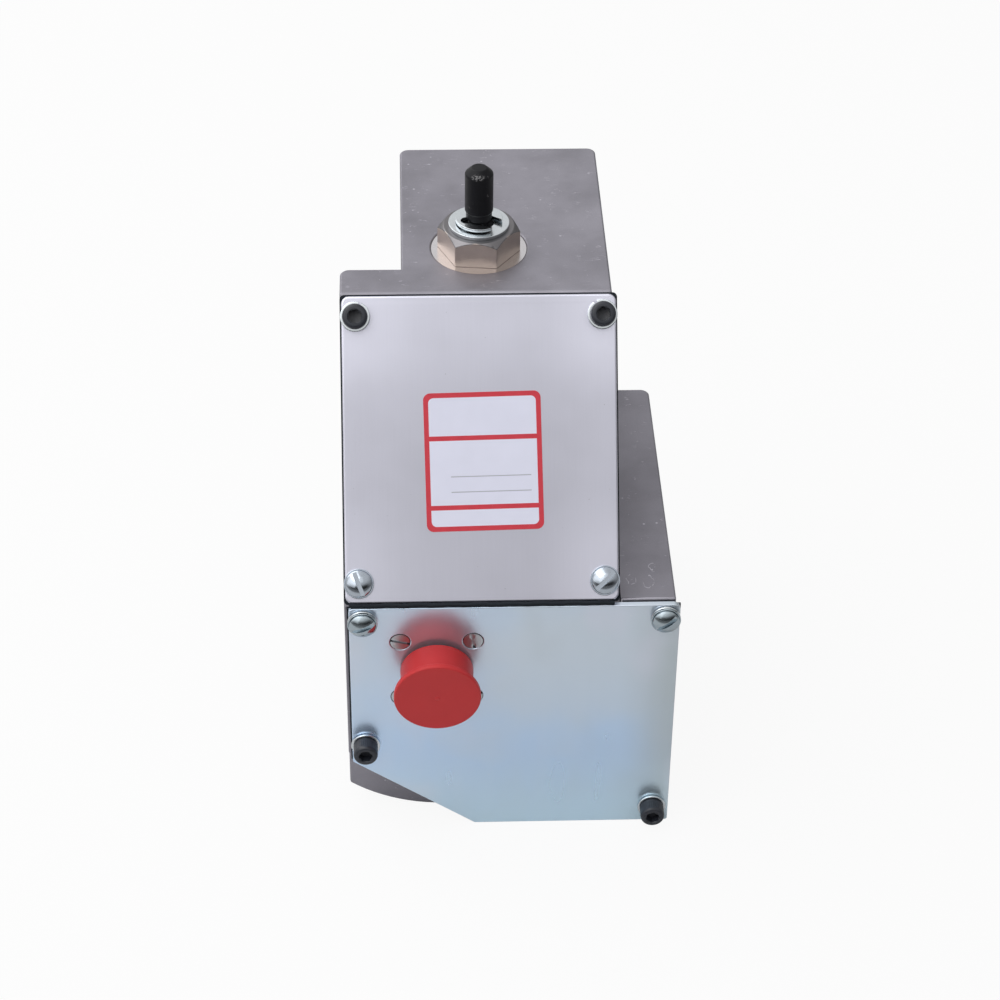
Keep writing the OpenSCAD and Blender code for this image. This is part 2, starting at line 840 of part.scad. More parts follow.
// Contact pins
module connector_contacts() {
    color([0.80, 0.66, 0.32]) on_connector()
        rods_at(contact_points(), contact_d, -contact_back, lower_out + barrel_out - contact_in);
}

// Flat-head screws through the cover into the flange
module connector_screws() {
    color([0.72, 0.74, 0.76]) on_connector() for (p = flange_holes)
        translate([p[0], p[1], 0]) flat_head_screw();
}

// Slotted flat-head screw for the flange
module flat_head_screw() {
    back = flange_face - flange_t;
    difference() {
        union() {
            translate([0, 0, back]) cylinder(d = flange_screw_d, h = lower_out - back);
            translate([0, 0, lower_out - flange_head_t])
                cylinder(d1 = flange_screw_d, d2 = flange_head_d, h = flange_head_t);
        }
        rotate([0, 0, flange_slot_turn])
            translate([-flange_head_d, -flange_slot_w / 2, lower_out - flange_slot_deep])
                cube([2 * flange_head_d, flange_slot_w, flange_slot_deep + over]);
    }
}

// Push-on dust cap
module dust_cap() {
    low = lower_out + face_gap;
    high = lower_out + cap_out;
    bore_d = barrel_d + 2 * running_gap;
    color([0.78, 0.16, 0.17]) on_connector() difference() {
        union() {
            translate([0, 0, low]) cylinder(d = cap_d, h = high - low);
            translate([0, 0, high - cap_disc_t]) cylinder(d = cap_disc_d, h = cap_disc_t);
        }
        translate([0, 0, low - over]) cylinder(d = bore_d, h = high - cap_disc_t - low + over);
    }
}

// Hexagon gland with a threaded neck
module gland_nut() {
    corner_d = gland_af * 2 / sqrt(3);
    color([0.58, 0.53, 0.49]) on_stop() difference() {
        union() {
            intersection() {
                translate([0, 0, spot_z]) rotate([0, 0, gland_turn])
                    cylinder(d = corner_d, h = gland_h, $fn = 6);
                translate([0, 0, gland_top - corner_d])
                    cylinder(d1 = 3 * corner_d, d2 = gland_af * chamfer_share, h = corner_d);
            }
            translate([0, 0, gland_low]) cylinder(d = neck_d, h = neck_len + over);
        }
        translate([0, 0, gland_low - over])
            cylinder(d = stop_d + 2 * running_gap, h = neck_len + gland_h + 2 * over);
        translate([0, 0, seal_z - seal_room / 2])
            cylinder(r = seal_ring + seal_d / 2 + running_gap, h = seal_room);
    }
}

// Ring seal round the stop shaft
module gland_seal() {
    color([0.10, 0.10, 0.11]) on_stop() translate([0, 0, seal_z])
        rotate_extrude() translate([seal_ring, 0]) circle(d = seal_d);
}

// Flat washer on the gland
module shaft_washer() {
    color([0.78, 0.79, 0.80]) on_stop() translate([0, 0, gland_top]) difference() {
        cylinder(d = washer_d, h = washer_t);
        translate([0, 0, -over]) cylinder(d = stop_d + 2 * hole_gap, h = washer_t + 2 * over);
    }
}

// Three-prong retaining clip for a groove, with its mouth toward +X
module e_clip(groove, outside) {
    rim = outside * clip_rim;
    prong = outside * clip_prong;
    mouth = groove * clip_mouth;
    linear_extrude(clip_t) difference() {
        union() {
            difference() {
                circle(d = outside);
                circle(d = outside - 2 * rim);
            }
            for (a = [75, 180, 285]) rotate([0, 0, a]) translate([0, -prong / 2])
                square([outside / 2 - rim / 2, prong]);
        }
        circle(d = groove + 2 * running_gap);
        translate([0, -mouth / 2]) square([outside, mouth]);
    }
}

// Clip that keeps the stop shaft up
module shaft_clip() {
    color([0.70, 0.71, 0.72]) on_stop() translate([0, 0, clip_z]) rotate([0, 0, clip_turn])
        e_clip(groove_d, stop_d * clip_size);
}

// Stop shaft with a chamfered tip and a clip groove
module stop_shaft() {
    top = tower_h + stop_out;
    color([0.10, 0.10, 0.11]) on_stop() difference() {
        union() {
            translate([0, 0, hub_z]) cylinder(d = stop_d, h = top - tip_len - hub_z);
            translate([0, 0, top - tip_len])
                cylinder(d1 = stop_d, d2 = stop_d * tip_share, h = tip_len);
        }
        translate([0, 0, clip_z - running_gap]) difference() {
            cylinder(d = stop_d + over, h = clip_t + 2 * running_gap);
            translate([0, 0, -over]) cylinder(d = groove_d, h = clip_t + 3 * over);
        }
        stop_pin_hole();
    }
}

// Cross hole for the stop arm's pin
module stop_pin_hole() {
    translate([0, hub_d, stop_pin_z]) rotate([90, 0, 0])
        cylinder(d = stop_pin_d + 2 * seat_gap, h = 2 * hub_d);
}

// Crank with a finger, pinned to the stop shaft
module stop_arm() {
    color([0.45, 0.45, 0.47]) on_stop() difference() {
        union() {
            translate([0, 0, hub_z]) cylinder(d = hub_d, h = hub_h);
            rotate([0, 0, arm_rest]) {
                translate([0, -arm_w / 2, arm_z]) cube([finger_reach, arm_w, arm_t]);
                translate([finger_reach, 0, finger_low])
                    cylinder(d = finger_d, h = arm_z + arm_t + finger_past - finger_low);
            }
        }
        translate([0, 0, hub_z - over]) cylinder(d = stop_d + 2 * seat_gap, h = hub_h + 2 * over);
        stop_pin_hole();
    }
}

// Pin through the crank and the stop shaft
module stop_arm_pin() {
    color([0.60, 0.60, 0.62]) on_stop() translate([0, hub_d / 2, stop_pin_z])
        rotate([90, 0, 0]) cylinder(d = stop_pin_d, h = hub_d);
}

// U-shaped core with fixing ears
module magnet_core() {
    low_y = core_y - core_t / 2;
    color([0.36, 0.37, 0.40]) in_frame() difference() {
        union() {
            translate([-core_half, low_y, core_seat]) cube([2 * core_half, core_t, core_base]);
            for (x = leg_xs) translate([x - leg_w / 2, low_y, core_seat])
                cube([leg_w, core_t, pole_h - core_seat]);
        }
        for (x = ear_xs) translate([x, core_y, core_seat - over])
            cylinder(d = core_screw_d + 2 * hole_gap, h = core_base + 2 * over);
    }
}

// Screws that hold the core on its bosses
module core_screws() {
    shank = core_base_top - wall - 2 * part_gap;
    color([0.70, 0.71, 0.73]) in_frame() for (x = ear_xs) translate([x, core_y, core_base_top]) {
        cylinder(d = core_head_d, h = core_head_h);
        translate([0, 0, -shank]) cylinder(d = core_screw_d, h = shank + root);
    }
}

// Square tube round a core leg, between two offsets from it
module leg_ring(outer, inner, low, high, r) {
    half_x = leg_w / 2 + outer;
    half_y = core_t / 2 + outer;
    for (x = leg_xs) translate([x, core_y, 0]) difference() {
        plan_block(-half_x, half_x, -half_y, half_y, low, high, r);
        translate([-leg_w / 2 - inner, -core_t / 2 - inner, low - over])
            cube([leg_w + 2 * inner, core_t + 2 * inner, high - low + 2 * over]);
    }
}

// Flanged bobbins on the core legs
module coil_bobbins() {
    color([0.20, 0.21, 0.23]) in_frame() {
        leg_ring(face_gap + bobbin_t, face_gap, bobbin_low, bobbin_high, tube_r);
        leg_ring(flange_reach, face_gap, bobbin_low, bobbin_low + bobbin_flange, bobbin_r);
        leg_ring(flange_reach, face_gap, bobbin_high - bobbin_flange, bobbin_high, bobbin_r);
    }
}

// Copper windings on the bobbins
module coil_windings() {
    tube = face_gap + bobbin_t + seat_gap;
    color([0.72, 0.40, 0.20]) in_frame()
        leg_ring(flange_reach - winding_in, tube, bobbin_low + bobbin_flange + seat_gap,
            bobbin_high - bobbin_flange - seat_gap, winding_r);
}

function unit(v) = v / norm(v);
function square_to(v, t) = unit(v - (v * t) * t);
function tangents(path) = [
    for (i = [0 : len(path) - 1]) unit(path[min(i + 1, len(path) - 1)] - path[max(i - 1, 0)])
];
function carried(t, start) = [
    for (
        i = 0, n = square_to(start, t[0]);
        i < len(t);
        i = i + 1, n = i < len(t) ? square_to(n, t[i]) : n
    ) n
];

// Round wire along a path of points
module wire(path, d, sides) {
    t = tangents(path);
    n = carried(t, [0.2, 0.3, 0.9]);
    last = len(path) - 1;
    points = [
        for (i = [0 : last], k = [0 : sides - 1])
            path[i] + d / 2 * (cos(360 * k / sides) * n[i] + sin(360 * k / sides) * cross(t[i], n[i]))
    ];
    walls = [
        for (i = [0 : last - 1], k = [0 : sides - 1])
            let (j = (k + 1) % sides)
                [i * sides + k, (i + 1) * sides + k, (i + 1) * sides + j, i * sides + j]
    ];
    ends = [
        [for (k = [0 : sides - 1]) k],
        [for (k = [0 : sides - 1]) last * sides + sides - 1 - k]
    ];
    polyhedron(points, concat(walls, ends));
}

// Route that leaves one end squarely, crosses over and meets the other end squarely
function lead_route(start, end) = [
    start,
    start + [0, lead_lead, 0],
    (start + end) / 2,
    end - [0, lead_lead, 0],
    end
];

// Leads from the contacts to the windings
module lead_wires() {
    color([0.75, 0.15, 0.12]) in_frame() for (i = [0, 1])
        wire(lead_route(lead_starts[i], lead_ends[i]), lead_d, 8);
}

// Hole across the rocker shaft for a pin
module cross_pin_hole(x) {
    on_rocker(swing / 2) translate([x, 0, -2 * lever_hub_d])
        cylinder(d = cross_pin_d + 2 * seat_gap, h = 4 * lever_hub_d);
}

// Cross shaft of the rocker
module rocker_shaft() {
    color([0.62, 0.63, 0.65]) difference() {
        on_rocker(0) x_rod(-shaft_reach, shaft_reach, rocker_d);
        cross_pin_hole(arm_pin_x);
        cross_pin_hole(lever_pin_x);
    }
}

// Sealed ball bearing, shown as one ring
module bearing() {
    color([0.66, 0.67, 0.69]) on_rocker(0) difference() {
        x_rod(bearing_in, bearing_in + bearing_w, bearing_d);
        x_rod(bearing_in - over, col_x, rocker_d + 2 * running_gap);
    }
}

// Bearing in the column's left wall
module left_bearing() {
    mirror([1, 0, 0]) bearing();
}

// Bearing in the column's right wall
module right_bearing() {
    bearing();
}

// Plugs over the bearings
module bearing_plugs() {
    color([0.70, 0.70, 0.72]) on_rocker(0) for (side = [0, 180]) rotate([0, 0, side])
        x_rod(bearing_in + bearing_w, col_x, bearing_d);
}

// Iron flap with a hub on the rocker shaft, drawn flat on the poles and then lifted to rest
module armature() {
    hub_len = arm_hub_right - arm_hub_left;
    color([0.42, 0.43, 0.45]) difference() {
        on_rocker(swing) {
            x_rod(arm_hub_left, arm_hub_right, arm_hub_d);
            translate([arm_hub_left, -arm_hub_d / 2, armature_low])
                cube([hub_len, arm_hub_d, -armature_low]);
            translate([-armature_half, armature_front, armature_low])
                cube([2 * armature_half, plate_back - armature_front, armature_t]);
            translate([arm_hub_left, plate_back - over, armature_low])
                cube([hub_len, -plate_back + over, armature_t]);
        }
        on_rocker(0) x_rod(-col_x, col_x, rocker_d + 2 * seat_gap);
        cross_pin_hole(arm_pin_x);
    }
}

// Pin across the rocker shaft, a little shorter than its hub
module cross_pin(x, across) {
    on_rocker(swing / 2) translate([x, 0, (pin_short - across) / 2])
        cylinder(d = cross_pin_d, h = across - pin_short);
}

// Pin through the armature's hub and the shaft
module armature_pin() {
    color([0.60, 0.60, 0.62]) cross_pin(arm_pin_x, arm_hub_d);
}

// Output lever
module lever() {
    color([0.50, 0.51, 0.53]) difference() {
        on_rocker(swing / 2) {
            x_rod(lever_x, lever_right + lever_hub_out, lever_hub_d);
            translate([lever_x, -eye_d / 2, 0]) cube([lever_t, eye_d, lever_len]);
            translate([0, 0, lever_len]) x_rod(lever_x, lever_right, eye_d);
        }
        on_rocker(swing / 2) {
            x_rod(lever_x - over, col_x, rocker_d + 2 * seat_gap);
            translate([0, 0, lever_len]) x_rod(lever_x - over, col_x, link_pin_d + 2 * seat_gap);
            translate([0, 0, spring_arm]) x_rod(lever_x - over, col_x, post_d + 2 * seat_gap);
        }
        cross_pin_hole(lever_pin_x);
    }
}

// Pin through the lever's hub and the shaft
module lever_pin() {
    color([0.60, 0.60, 0.62]) cross_pin(lever_pin_x, lever_hub_d);
}

// Pivot pin at the lever's tip
module link_pin() {
    color([0.68, 0.69, 0.71]) on_rocker(swing / 2) translate([0, 0, lever_len]) difference() {
        x_rod(lever_x, link_pin_end, link_pin_d);
        difference() {
            x_rod(link_clip_x - running_gap, link_clip_x + clip_t + running_gap, link_pin_d + over);
            x_rod(link_right, col_x, link_groove_d);
        }
    }
}

// Clip that keeps the link on its pin
module link_clip() {
    color([0.70, 0.71, 0.72]) on_rocker(swing / 2) translate([link_clip_x, 0, lever_len])
        rotate([0, 90, 0]) e_clip(link_groove_d, link_pin_d * 2);
}

// Link from the lever to the pump's control rack
module rack_link() {
    color([0.58, 0.59, 0.61]) in_frame() translate([0, link_pivot[0], link_pivot[1]]) difference() {
        union() {
            x_rod(link_x, link_right, eye_d);
            translate([link_x, 0, -link_w / 2]) cube([link_t, link_len, link_w]);
            translate([0, link_len, 0]) x_rod(link_x, link_right, eye_d);
        }
        x_rod(link_x - over, col_x, link_pin_d + 2 * running_gap);
        translate([0, link_len, 0]) x_rod(link_x - over, col_x, rack_eye_d);
    }
}

function spring_axis() = unit(anchor_at - post_at);
function spring_side() = cross(spring_axis(), [1, 0, 0]);
function hook(centre, pin_d, from, to) = [
    for (a = [from : -hook_step : to])
        centre + (pin_d / 2 + wire_d / 2 + hook_gap) * (cos(a) * spring_axis() + sin(a) * spring_side())
];
function spring_coil() = [
    for (i = [0 : coil_turns * turn_steps])
        let (a = 90 + 360 * i / turn_steps, run = norm(anchor_at - post_at) - 2 * hook_run)
            post_at + spring_axis() * (hook_run + run * i / (coil_turns * turn_steps))
                + coil_r * (cos(a) * [1, 0, 0] + sin(a) * spring_side())
];

// Extension spring that pulls the lever to fuel off
module return_spring() {
    path = concat(hook(post_at, post_d, -45, -270), spring_coil(), hook(anchor_at, anchor_d, 90, -135));
    color([0.62, 0.63, 0.66]) in_frame() wire(path, wire_d, 6);
}

// Post on the lever for the spring
module spring_post() {
    color([0.68, 0.69, 0.71]) on_rocker(swing / 2) translate([0, 0, spring_arm])
        x_rod(lever_x, spring_x + post_past, post_d);
}

// Post in the column's wall for the spring
module spring_anchor() {
    color([0.68, 0.69, 0.71]) in_frame() translate([0, anchor_y, anchor_h])
        x_rod(spring_x - post_past, anchor_end, anchor_d);
}

housing();
upper_gasket();
upper_cover();
upper_cap_screws();
upper_cap_washers();
upper_pan_screws();
lower_gasket();
lower_cover();
lower_pan_screws();
lower_pan_washers();
lower_cap_screws();
lower_cap_washers();
data_label();
connector_shell();
connector_gasket();
connector_insert();
connector_contacts();
connector_screws();
dust_cap();
gland_nut();
gland_seal();
shaft_washer();
shaft_clip();
stop_shaft();
stop_arm();
stop_arm_pin();
magnet_core();
core_screws();
coil_bobbins();
coil_windings();
lead_wires();
rocker_shaft();
left_bearing();
right_bearing();
bearing_plugs();
armature();
armature_pin();
lever();
lever_pin();
link_pin();
link_clip();
rack_link();
return_spring();
spring_post();
spring_anchor();
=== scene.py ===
"""Looks of an electric governor actuator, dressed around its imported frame.

X runs across, Y runs back to the pump and Z runs up, in metres. The origin is the centre of the
pilot bore on the rear mounting face. Sizes held in the classes are millimetres.
"""

import logging
import math
from dataclasses import dataclass
from enum import Enum
from typing import Any, Sequence

import bmesh
import bpy
from mathutils import Matrix, Vector
from mathutils.bvhtree import BVHTree


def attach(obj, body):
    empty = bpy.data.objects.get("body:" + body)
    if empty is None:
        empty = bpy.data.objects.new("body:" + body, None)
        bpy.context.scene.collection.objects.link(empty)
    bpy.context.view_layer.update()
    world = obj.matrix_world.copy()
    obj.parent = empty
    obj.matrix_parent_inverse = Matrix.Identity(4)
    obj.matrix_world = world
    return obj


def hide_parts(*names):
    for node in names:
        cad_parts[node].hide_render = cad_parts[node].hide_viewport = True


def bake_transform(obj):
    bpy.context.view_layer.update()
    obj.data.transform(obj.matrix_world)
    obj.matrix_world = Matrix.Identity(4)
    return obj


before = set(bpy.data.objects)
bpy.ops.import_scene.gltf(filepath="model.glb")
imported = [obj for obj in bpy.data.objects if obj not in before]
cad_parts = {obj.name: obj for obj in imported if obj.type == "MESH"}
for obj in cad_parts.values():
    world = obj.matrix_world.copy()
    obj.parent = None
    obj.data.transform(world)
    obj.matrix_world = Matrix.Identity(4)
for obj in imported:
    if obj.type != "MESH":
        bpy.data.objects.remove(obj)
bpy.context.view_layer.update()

MM = 0.001
PILOT_H = 36.0
FRONT_Y = -144.0
SLOPE_FOOT = 91.8
LEAN = math.radians(35.3)
SHEET_LOW, SHEET_HIGH = 0.8, 2.8
HOLE_R = 2.75
STOP_AT = (-8.0, -61.4)
SPOT_Z = 171.6
CONNECTOR_AT = (-23.2, 68.3)
UPPER_ACROSS, UPPER_ALONG = (-47.3, 29.6), (7.8, 90.867)
LOWER_PANS = ((-46.4, 88.5), (48.7, 88.5))
LOWER_CAPS = ((-46.4, 36.4), (47.8, 6.8))
MAP_MM = 100.0
EASED_ANGLE = math.radians(40.0)
ROUNDED_ANGLE = math.radians(28.0)
FLAT_ANGLE = math.radians(0.6)
LOG = logging.getLogger("actuator")
Colour = tuple[float, float, float]
Point = Sequence[float]


class Body(Enum):
    """Bodies that the pieces ride on."""

    HOUSING = "housing"
    ROCKER = "rocker"
    LINK = "link"
    STOP = "stop"
    CAP = "cap"


class Val:
    """A node's output, with operators that add Math nodes to its tree."""

    def __init__(self, book: "Book", socket: bpy.types.NodeSocket) -> None:
        """Keeps the tree's book and the output socket."""
        self.book, self.socket = book, socket

    def __add__(self, other: Any) -> "Val":
        """Sum."""
        return self.book.math("ADD", self, other)

    def __radd__(self, other: Any) -> "Val":
        """Sum, the other way round."""
        return self.book.math("ADD", other, self)

    def __sub__(self, other: Any) -> "Val":
        """Difference."""
        return self.book.math("SUBTRACT", self, other)

    def __rsub__(self, other: Any) -> "Val":
        """Difference, the other way round."""
        return self.book.math("SUBTRACT", other, self)

    def __mul__(self, other: Any) -> "Val":
        """Product."""
        return self.book.math("MULTIPLY", self, other)

    def __truediv__(self, other: Any) -> "Val":
        """Quotient."""
        return self.book.math("DIVIDE", self, other)

    def __abs__(self) -> "Val":
        """Size without its sign."""
        return self.book.math("ABSOLUTE", self, 0.0)

    def above(self, low: float, high: float) -> "Val":
        """Smooth step from 0 at low to 1 at high."""
        sockets = {"Value": self, "From Min": low, "From Max": high}
        return self.book.add("ShaderNodeMapRange", {"interpolation_type": "SMOOTHSTEP"}, sockets)

    def below(self, low: float, high: float) -> "Val":
        """Smooth step from 1 at low to 0 at high."""
        return 1.0 - self.above(low, high)


class Book:
    """Adds nodes to a tree, of shader or geometry nodes."""

    def __init__(self, tree: bpy.types.NodeTree) -> None:
        """Keeps the tree that the nodes go into."""
        self.tree = tree

    def add(self, kind: str, settings: dict[str, Any], sockets: dict[Any, Any], out: Any = 0) -> Val:
        """Adds a node, with its settings first and then its sockets.

        Args:
            kind: Node's type.
            settings: Properties of the node; "items" sets the length of an index switch.
            sockets: Values or links of the inputs, by name or number.
            out: Name or number of the output to hand back.

        Returns:
            The node's output.
        """
        node = self.tree.nodes.new(kind)
        for name, value in settings.items():
            if name == "items":
                for _ in range(value - len(node.index_switch_items)):
                    node.index_switch_items.new()
            else:
                setattr(node, name, value)
        for key, value in sockets.items():
            self.join(value, node.inputs[key])
        return Val(self, node.outputs[out] if len(node.outputs) else None)

    def join(self, value: Any, socket: bpy.types.NodeSocket) -> None:
        """Links a value to an input, or sets the input to it.

        Args:
            value: Val, or plain value.
            socket: Input socket.
        """
        if isinstance(value, Val):
            self.tree.links.new(value.socket, socket)
        elif isinstance(value, tuple) and socket.type == "RGBA" and len(value) == 3:
            socket.default_value = (*value, 1.0)
        else:
            socket.default_value = value

    def math(self, operation: str, a: Any, b: Any = 0.0) -> Val:
        """Adds a Math node on one or two values."""
        return self.add("ShaderNodeMath", {"operation": operation}, {0: a, 1: b})

    def mix(self, share: Any, a: Any, b: Any) -> Val:
        """Mixes two colours, by the share of the second."""
        return self.add("ShaderNodeMix", {"data_type": "RGBA"}, {0: share, 6: a, 7: b}, 2)

    def noise(self, place: Val, scale: float, detail: float = 2.0, rough: float = 0.5) -> Val:
        """Adds a noise over coordinates, from 0 to 1."""
        sockets = {"Vector": place, "Scale": scale, "Detail": detail, "Roughness": rough}
        return self.add("ShaderNodeTexNoise", {}, sockets)

    def cells(self, place: Val, scale: float) -> Val:
        """Distance to the nearest of scattered points, at a scale."""
        return self.add("ShaderNodeTexVoronoi", {}, {"Vector": place, "Scale": scale}, "Distance")

    def axis(self, place: Val, name: str) -> Val:
        """One coordinate of a place, by the name of its axis."""
        return self.add("ShaderNodeSeparateXYZ", {}, {0: place}, name)

    def offset(self, place: Val, centre: Point) -> Val:
        """Way from a centre to a place."""
        return self.add("ShaderNodeVectorMath", {"operation": "SUBTRACT"}, {0: place, 1: centre})

    def length(self, way: Val) -> Val:
        """Length of a way."""
        return self.add("ShaderNodeVectorMath", {"operation": "LENGTH"}, {0: way}, 1)

    def stretched(self, place: Val, scale: Point, turn: Point = (0.0, 0.0, 0.0)) -> Val:
        """Stretches coordinates along each axis, and turns them by radians about each."""
        sockets = {"Vector": place, "Rotation": tuple(turn), "Scale": tuple(scale)}
        return self.add("ShaderNodeMapping", {"vector_type": "POINT"}, sockets)


def blank_book(data: bpy.types.ID) -> Book:
    """Clears the nodes of a material or world and opens the book of its tree.

    Args:
        data: Material or world.

    Returns:
        The book.
    """
    data.use_nodes = True
    data.node_tree.nodes.clear()
    return Book(data.node_tree)


@dataclass(frozen=True)
class Finish:
    """A finish: its name and the plain values of its surface."""

    name: str
    colour: Colour
    rough: float = 0.4
    metal: float = 1.0
    turn: tuple[float, float, float] = (0.0, 0.0, 0.0)
    specular: float = 0.5

    def material(self) -> bpy.types.Material:
        """Makes the finish's material, or finds it.

        Returns:
            The material.
        """
        found = bpy.data.materials.get("finish_" + self.name)
        if found:
            return found
        made = bpy.data.materials.new("finish_" + self.name)
        book = blank_book(made)
        place = book.add("ShaderNodeTexCoord", {}, {}, "Object")
        place = book.stretched(place, (1 / MM, 1 / MM, 1 / MM), self.turn)
        sockets = {"Metallic": self.metal, "Specular IOR Level": self.specular}
        sockets.update(self.dress(book, place))
        shader = book.add("ShaderNodeBsdfPrincipled", {}, sockets)
        book.add("ShaderNodeOutputMaterial", {}, {"Surface": shader})
        return made

    def dress(self, book: Book, place: Val) -> dict[str, Any]:
        """Gives the sockets that vary over the surface, by name."""
        raise NotImplementedError


def tint(book: Book, colour: Colour, share: Any, spread: float) -> Val:
    """Varies a colour's lightness round its plain value.

    Args:
        book: Book of the tree.
        colour: Plain colour.
        share: Value from 0, darker, to 1, lighter.
        spread: Change of lightness at each end.

    Returns:
        The varied colour.
    """
    dark = tuple(c * (1 - spread) for c in colour)
    light = tuple(min(1.0, c * (1 + spread)) for c in colour)
    return book.mix(share, dark, light)


def bump(book: Book, height: Val, depth: float) -> Val:
    """Normal of a bump, from its height of 0 to 1 and its depth in millimetres."""
    sockets = {"Height": height, "Distance": depth * MM, "Strength": 1.0}
    return book.add("ShaderNodeBump", {}, sockets)


@dataclass(frozen=True)
class CastFinish(Finish):
    """Blasted aluminium casting, with mottling, nicks and light scratches, and painted light on the top
    face and the lower walls.
    """

    loops: tuple[tuple[tuple[float, float, float], float], ...] = ()
    # Painted light: the top face grows lighter towards the right, and the walls below the pilot
    # lighter.
    painted_light_top: float = 0.2
    painted_light_foot: float = 0.25

    def dress(self, book: Book, place: Val) -> dict[str, Any]:
        """Gives mottled grey with painted light on the top face and the lower walls, blasted grain,
        bright nicks and scratches.

        Args:
            book: Book of the material's tree.
            place: Object coordinates in millimetres.

        Returns:
            Socket names and values.
        """
        mottle = book.noise(place, 0.09, 4.0, 0.6)
        grain = book.noise(place, 2.2, 3.0, 0.6)
        marks = book.cells(place, 0.22).below(0.05, 0.11)
        marks = marks * book.noise(place, 0.13, 1.0).above(0.5, 0.62)
        for turn, seed in ((0.5, 0.17), (1.9, 0.21), (-0.7, 0.26)):
            along = book.stretched(place, (0.16, 1.0, 1.0), (0.3 * turn, 0.2, turn))
            line = abs(book.noise(along, 0.9, 1.0) - 0.5).below(0.003, 0.010)
            rare = book.noise(place, seed, 1.0).above(0.66, 0.72)
            marks = book.math("MAXIMUM", marks, line * rare)
        for centre, reach in self.loops:
            off = book.stretched(book.offset(place, centre), (1.0, 0.6, 1.0), (0.0, 0.0, 0.5))
            uneven = (book.noise(place, 0.55, 1.0) - 0.5) * 1.6
            loop = abs(book.length(off) - reach + uneven).below(0.04, 0.13)
            loop = loop * book.noise(place, 0.8, 1.0).above(0.42, 0.5)
            marks = book.math("MAXIMUM", marks, loop)
        patch = book.noise(place, 0.035, 3.0, 0.6).above(0.32, 0.68)
        level = book.axis(place, "Z")
        # Painted light: lighter towards the right on the top face, and lighter on the walls below the
        # pilot.
        pale = level.above(90.0, 120.0) * book.axis(place, "X").above(-30.0, 25.0) * self.painted_light_top
        pale = pale + level.below(0.0, 50.0) * self.painted_light_foot
        base = tint(book, self.colour, mottle * 0.45 + grain * 0.25 + patch * 0.3 + pale, 0.34)
        bright = tuple(min(1.0, c * 2.1) for c in self.colour)
        height = grain * 0.6 + mottle * 0.4 - marks * 0.5
        return {
            "Base Color": book.mix(marks * 0.75, base, bright),
            "Roughness": self.rough + (mottle - 0.5) * 0.25 - marks * 0.12,
            "Normal": bump(book, height, 0.03),
        }


@dataclass(frozen=True)
class SheetFinish(Finish):
    """Satin sheet with a fine rolled grain up the sheet, a few pits and painted sheen, lighter at the
    sides and ends.
    """

    # The spread covers the clouds, the grain and the painted sheen; left and right bound the painted
    # sheen at the sides.
    clouds: float = 0.20
    left: tuple[float, float] = (-51.0, -22.0)
    right: tuple[float, float] = (5.0, 33.0)

    def dress(self, book: Book, place: Val) -> dict[str, Any]:
        """Gives soft clouds, fine rolled grain, small pits and painted sheen at the sides and ends.

        Args:
            book: Book of the material's tree.
            place: Object coordinates in millimetres.

        Returns:
            Socket names and values.
        """
        cloud = book.noise(place, 0.036, 2.0, 0.5)
        rolled = book.noise(book.stretched(place, (2.4, 0.05, 1.0)), 1.0, 3.0, 0.6)
        across, along = book.axis(place, "X"), book.axis(place, "Y")
        # Painted sheen: lighter towards the left and right edges, less so level with the label, and
        # lighter towards both ends along the slope; painted shade in the middle.
        sides = across.below(*self.left) * 0.36 + across.above(*self.right) * 0.64
        sides = sides * (1.0 - along.above(-22.0, 2.0) * along.below(24.0, 46.0) * 0.6)
        end_sheen = along.above(25.0, 50.0) * 0.24 + along.below(-30.0, -8.0) * 0.12
        pits = book.cells(place, 0.30).below(0.03, 0.07)
        pits = pits * book.noise(place, 0.21, 1.0).above(0.55, 0.62)
        share = 0.12 + sides + end_sheen + cloud.above(0.3, 0.62) * 0.14 + rolled * 0.14
        base = tint(book, self.colour, share, self.clouds)
        dark = tuple(c * 0.55 for c in self.colour)
        return {
            "Base Color": book.mix(pits * 0.6, base, dark),
            "Roughness": self.rough + (rolled - 0.5) * 0.14 + (cloud - 0.5) * 0.10,
            "Normal": bump(book, rolled * 0.7 - pits * 0.6, 0.006),
        }


